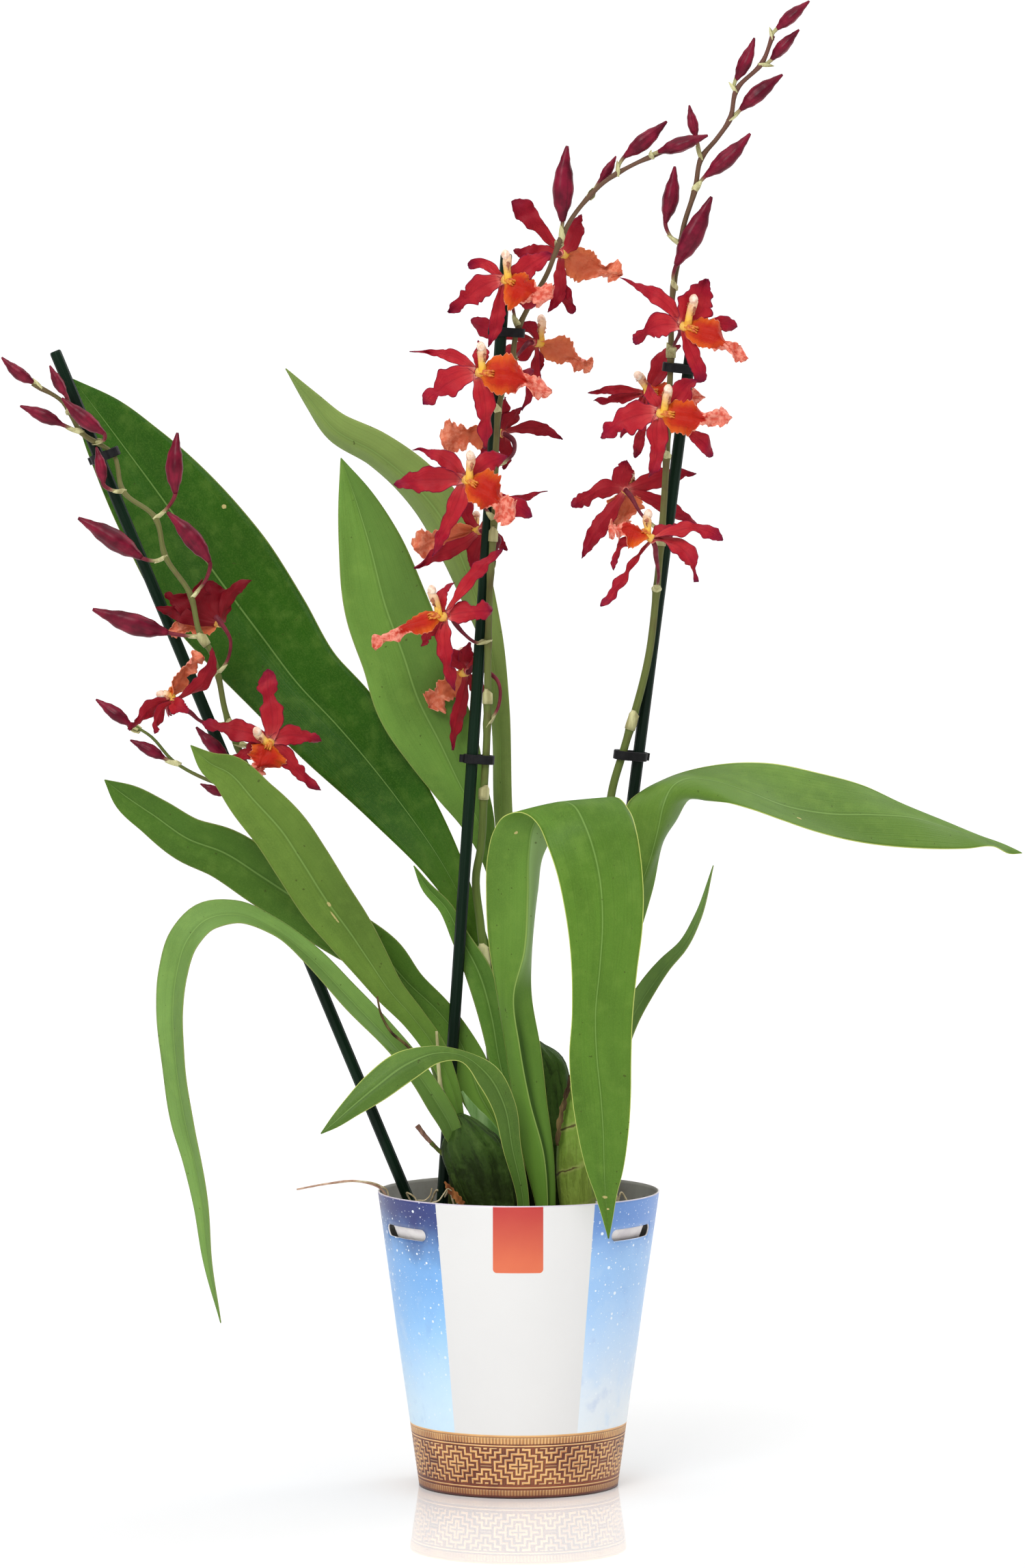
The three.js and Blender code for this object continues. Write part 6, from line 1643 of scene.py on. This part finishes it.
# Each strip: points, half widths, paint, seed, how ragged.
DRY_STRIPS = [
    ([(-36.5, -20, 153.5), (-34.5, -21, 150.5), (-31.5, -21.5, 147), (-27.5, -21, 142)],
     [0.3, 1.3, 1.7, 1.5], 4, 3, 1.0),
    ([(26.5, -14, 209), (23.5, -15.5, 196), (20.5, -16.5, 184), (19, -16.5, 171)],
     [0.4, 1.1, 1.3, 0.9], 0, 5, 1.5),
    ([(24, -17, 133), (33, -16.5, 136), (41, -14, 135.5)], [1.0, 1.6, 0.8], 0, 8, 1.0),
    ([(-28, -6, 197), (-23.5, -6.5, 189), (-17, -7, 181), (-9, -8, 172)], [0.4, 2.2, 3.4, 3.4], 2, 7, 0.1),
    ([(9.5, -29.5, 131), (5, -31, 135), (-1, -30, 132)], [1.0, 1.7, 0.6], 2, 12, 0.2),
]
# Each curl: points, first and last radius, places along it.
CURLS = [
    ([(-95, -6, 150.6), (-82, -6.2, 152), (-76.6, -6.4, 152), (-72, -6.6, 151.3), (-68.2, -6.8, 149.8),
      (-65.4, -7, 148), (-64.4, -7, 144.6), (-64, -7, 138)], 0.3, 0.45, 40),
    ([(-43, -26, 143.6), (-39.4, -26.5, 144.8), (-37, -27, 148), (-34.8, -26, 150.6), (-33, -25, 149.4)],
     0.4, 0.3, 24),
    ([(-54, -24, 142.6), (-50, -25, 144.6), (-46, -26, 145), (-43.6, -26, 147.4), (-42.8, -25, 150.8)],
     0.35, 0.3, 24),
    ([(-45, 10, 133), (-43, 4, 142), (-40, 0, 147), (-37, -1, 143.5), (-34.5, -2, 147.5), (-33, -2, 143),
      (-31, -4, 136)], 0.6, 0.45, 30),
    ([(-56, 6, 133), (-53.5, 0, 141), (-55.5, -3, 146), (-51.5, -6, 144), (-50, -8, 136)], 0.5, 0.4, 26),
    ([(47, -4, 133), (49, -6, 143), (46, -8, 149), (43.5, -9, 144), (41, -11, 136)], 0.6, 0.45, 26),
    ([(55, 2, 133), (54, 0, 141), (51, -1, 146), (49, -3, 140), (46, -4, 134)], 0.5, 0.4, 26),
]


def dry_line(sheet, points, wide, thin, slot, count):
    bumps = 1 + 0.06 * np.sin(np.arange(count) * 1.9 + points[0][0])
    add_tube(sheet, smooth(points, count), np.linspace(wide, thin, count) * bumps, 9, slot=slot)


def dry_strip(sheet, points, halves, slot, seed, ragged):
    """A flat dry strip with a ragged edge and curled sides."""
    rng = random.Random(seed)
    rows = 26
    data = smooth([[*p, h] for p, h in zip(points, halves)], rows)
    path, half = data[:, :3], data[:, 3]
    along = unit(np.gradient(path, axis=0))
    across = unit(np.cross(along, [0, 1, 0]))
    place = np.arange(rows)

    def side():
        wave = 0.22 * np.sin(place * 1.3 + rng.uniform(0, 6)) + 0.12 * np.sin(place * 3.1 + rng.uniform(0, 6))
        return half * (1 + ragged * wave)

    def curl(u, t):
        return 0.3 * half[:, None] * u * u + 0.25 * np.sin(14 * t + 3 * u)

    left, right = side(), side()
    above = np.cross(along, across)
    add_blade(sheet, path, across, above, left, right, curl, (0.2, 0.35), 8, slots=(slot, slot))


def make_litter():
    sheet = Sheet()
    for row in DRY_LINES:
        dry_line(sheet, *row)
    for row in DRY_STRIPS:
        dry_strip(sheet, *row)
    for points, wide, thin, count in CURLS:
        dry_line(sheet, points, wide, thin, 3, count)
    paints = [PAINT[name] for name in ("husk", "bract", "flap", "curl", "rust", "stub", "olive")]
    obj = sheet.make("dry_sheaths", paints)


make_litter()

# The stakes as foot and top, and the clips that tie the stems to them.
STAKES = {
    "stake_a": ([-21.4, 16.9, 60], [-229, 5, 563]),
    "stake_b": ([-43.4, 1, 60], [-6, 1, 611]),
    "stake_c": ([21, 22.5, 60], [87, 6, 578]),
}
# Each clip: its name, its stake, the stem's middle and the stem's radius.
CLIPS = [
    ("clip_a", "stake_a", [-200.5, 0, 513], 1.3),
    ("clip_b_high", "stake_b", [-0.6, 0, 572], 1.7),
    ("clip_b_low", "stake_b", [-16.2, 1.4, 361], 2.2),
    ("clip_c_high", "stake_c", [75, 2, 555], 1.9),
    ("clip_c_low", "stake_c", [51.4, 8.1, 363], 2.3),
]


def make_stake(name):
    foot, top = (np.array(p, float) for p in STAKES[name])
    way = unit(top - foot)
    size = np.linalg.norm(top - foot)
    marks = [0, 60, 120, 200, 280, 360, size - 6, size - 1.2, size - 0.3, size]
    marks = [m for m in marks if m <= size]
    path = foot + way * np.array(marks)[:, None]
    radius = np.full(len(marks), STAKE_RADIUS)
    radius[-2] -= 0.25
    radius[-1] -= 0.8

    def flutes(turn, s):
        return 1 - 0.075 * (1 - np.abs(np.cos(STAKE_FLUTES / 2 * turn))) ** 1.3 + 0 * s

    sheet = Sheet()
    add_tube(sheet, path, radius, 64, shape=flutes)
    obj = sheet.make(name + "_stick", [PAINT["stake"]])
    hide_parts(name)


def make_clip(name, holder, at, stem_radius):
    foot, top = (np.array(p, float) for p in STAKES[holder])
    up = unit(top - foot)
    at = np.array(at, float)
    centre = foot + (top - foot) * (at[2] - foot[2]) / (top[2] - foot[2])
    centre = centre + up * np.dot(at - centre, up)
    out = at - centre
    reach = np.linalg.norm(out)
    out = out / reach
    side = np.cross(up, out)
    width = STAKE_RADIUS + 0.5
    far = reach + stem_radius + 1 - width
    half = CLIP_HEIGHT / 2
    bevel = 0.3
    section = [
        (0, -half + bevel), (bevel, -half), (CLIP_WALL - bevel, -half), (CLIP_WALL, -half + bevel),
        (CLIP_WALL, half - bevel), (CLIP_WALL - bevel, half), (bevel, half), (0, half - bevel),
    ]
    turns = [math.radians(90 + 15 * i) for i in range(13)]
    ring = [(0.0, t) for t in turns] + [(far, t + math.pi) for t in turns]
    points = np.zeros((len(ring), len(section), 3))
    for i, (shift, t) in enumerate(ring):
        for j, (r, z) in enumerate(section):
            flat = out * (shift + (width + r) * math.cos(t)) + side * (width + r) * math.sin(t)
            points[i, j] = centre + flat + up * z
    points = np.concatenate([points, points[:1]])[::-1]
    uv = np.stack(np.meshgrid(np.linspace(0, 1, len(section)), np.linspace(0, 1, len(points))), axis=2)
    sheet = Sheet()
    sheet.grid(points, uv, closed=True)
    for shift in (-1.3, 0.2):
        lug = centre + out * (-width - CLIP_WALL - 0.6) + side * shift
        ends = [lug - up * (half - 0.4), lug + up * (half - 0.4)]
        add_tube(sheet, ends, [(0.7, 1.3), (0.7, 1.3)], 12, start=out)
    obj = sheet.make(name + "_loop", [PAINT["clip"]], smooth_faces=False, weld=0.002)
    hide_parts(name)


for name in STAKES:
    make_stake(name)
for row in CLIPS:
    make_clip(*row)


# The stage: a pale floor, a soft studio sky and the camera.
def make_floor():
    mesh = bpy.data.meshes.new("studio_floor")
    turns = [2 * math.pi * i / 96 for i in range(96)]
    mesh.from_pydata([(12 * math.cos(t), 12 * math.sin(t), 0.0) for t in turns], [], [list(range(96))])
    p = Paint("studio_floor", roughness=0.03, specular=0.6)
    cloud = p.noise(p.place(), 3.0, 2.0)
    colour = p.mix(cloud, rgb(243, 243, 243), rgb(246, 246, 246))
    mesh.materials.append(p.done(colour, p.vary(cloud, 0.0, 0.02)))
    floor = bpy.data.objects.new("studio_floor", mesh)
    bpy.context.scene.collection.objects.link(floor)


def add_light(name, at, aim, size, power):
    data = bpy.data.lights.new(name, "AREA")
    data.shape = "DISK"
    data.size = size
    data.energy = power
    light = bpy.data.objects.new(name, data)
    bpy.context.scene.collection.objects.link(light)
    light.location = at
    light.rotation_euler = (Vector(aim) - Vector(at)).to_track_quat("-Z", "Y").to_euler()


def make_sky():
    """White at the horizon, dim above it, and bright overhead like a large soft box."""
    world = bpy.data.worlds.new("studio")
    world.use_nodes = True
    nodes, links = world.node_tree.nodes, world.node_tree.links
    place = nodes.new("ShaderNodeTexCoord")
    split = nodes.new("ShaderNodeSeparateXYZ")
    spread = nodes.new("ShaderNodeMapRange")
    ramp = nodes.new("ShaderNodeValToRGB")
    links.new(place.outputs["Generated"], split.inputs[0])
    links.new(split.outputs["Z"], spread.inputs[0])
    spread.inputs[1].default_value = -1.0
    spread.inputs[2].default_value = 1.0
    links.new(spread.outputs[0], ramp.inputs[0])
    stops = [(0.0, 0.2), (0.44, 0.57), (0.55, 0.57), (0.6, 0.1), (0.74, 0.1), (0.86, 0.85)]
    elements = ramp.color_ramp.elements
    while len(elements) < len(stops):
        elements.new(0.5)
    for element, (at, level) in zip(elements, stops):
        element.position = at
        element.color = (level, level, level, 1.0)
    links.new(ramp.outputs[0], nodes["Background"].inputs[0])
    nodes["Background"].inputs[1].default_value = 2.0
    bpy.context.scene.world = world


make_floor()
make_sky()
add_light("key", (-0.95, -2.7, 2.3), (0.0, 0.0, 0.35), 1.6, 62)
add_light("fill", (2.2, 1.8, 1.9), (0.0, 0.0, 0.35), 1.4, 24)

camera = bpy.data.cameras.new("camera")
camera.lens = 185.9
camera.sensor_width = 36.0
camera.sensor_fit = "AUTO"
camera.clip_end = 50.0
eye = bpy.data.objects.new("camera", camera)
bpy.context.scene.collection.objects.link(eye)
eye.location = (-0.003, -4.0, 0.6)
eye.rotation_euler = (math.radians(90 - 3.59), 0.0, 0.0)
bpy.context.scene.camera = eye
bpy.context.scene.view_settings.view_transform = "Standard"
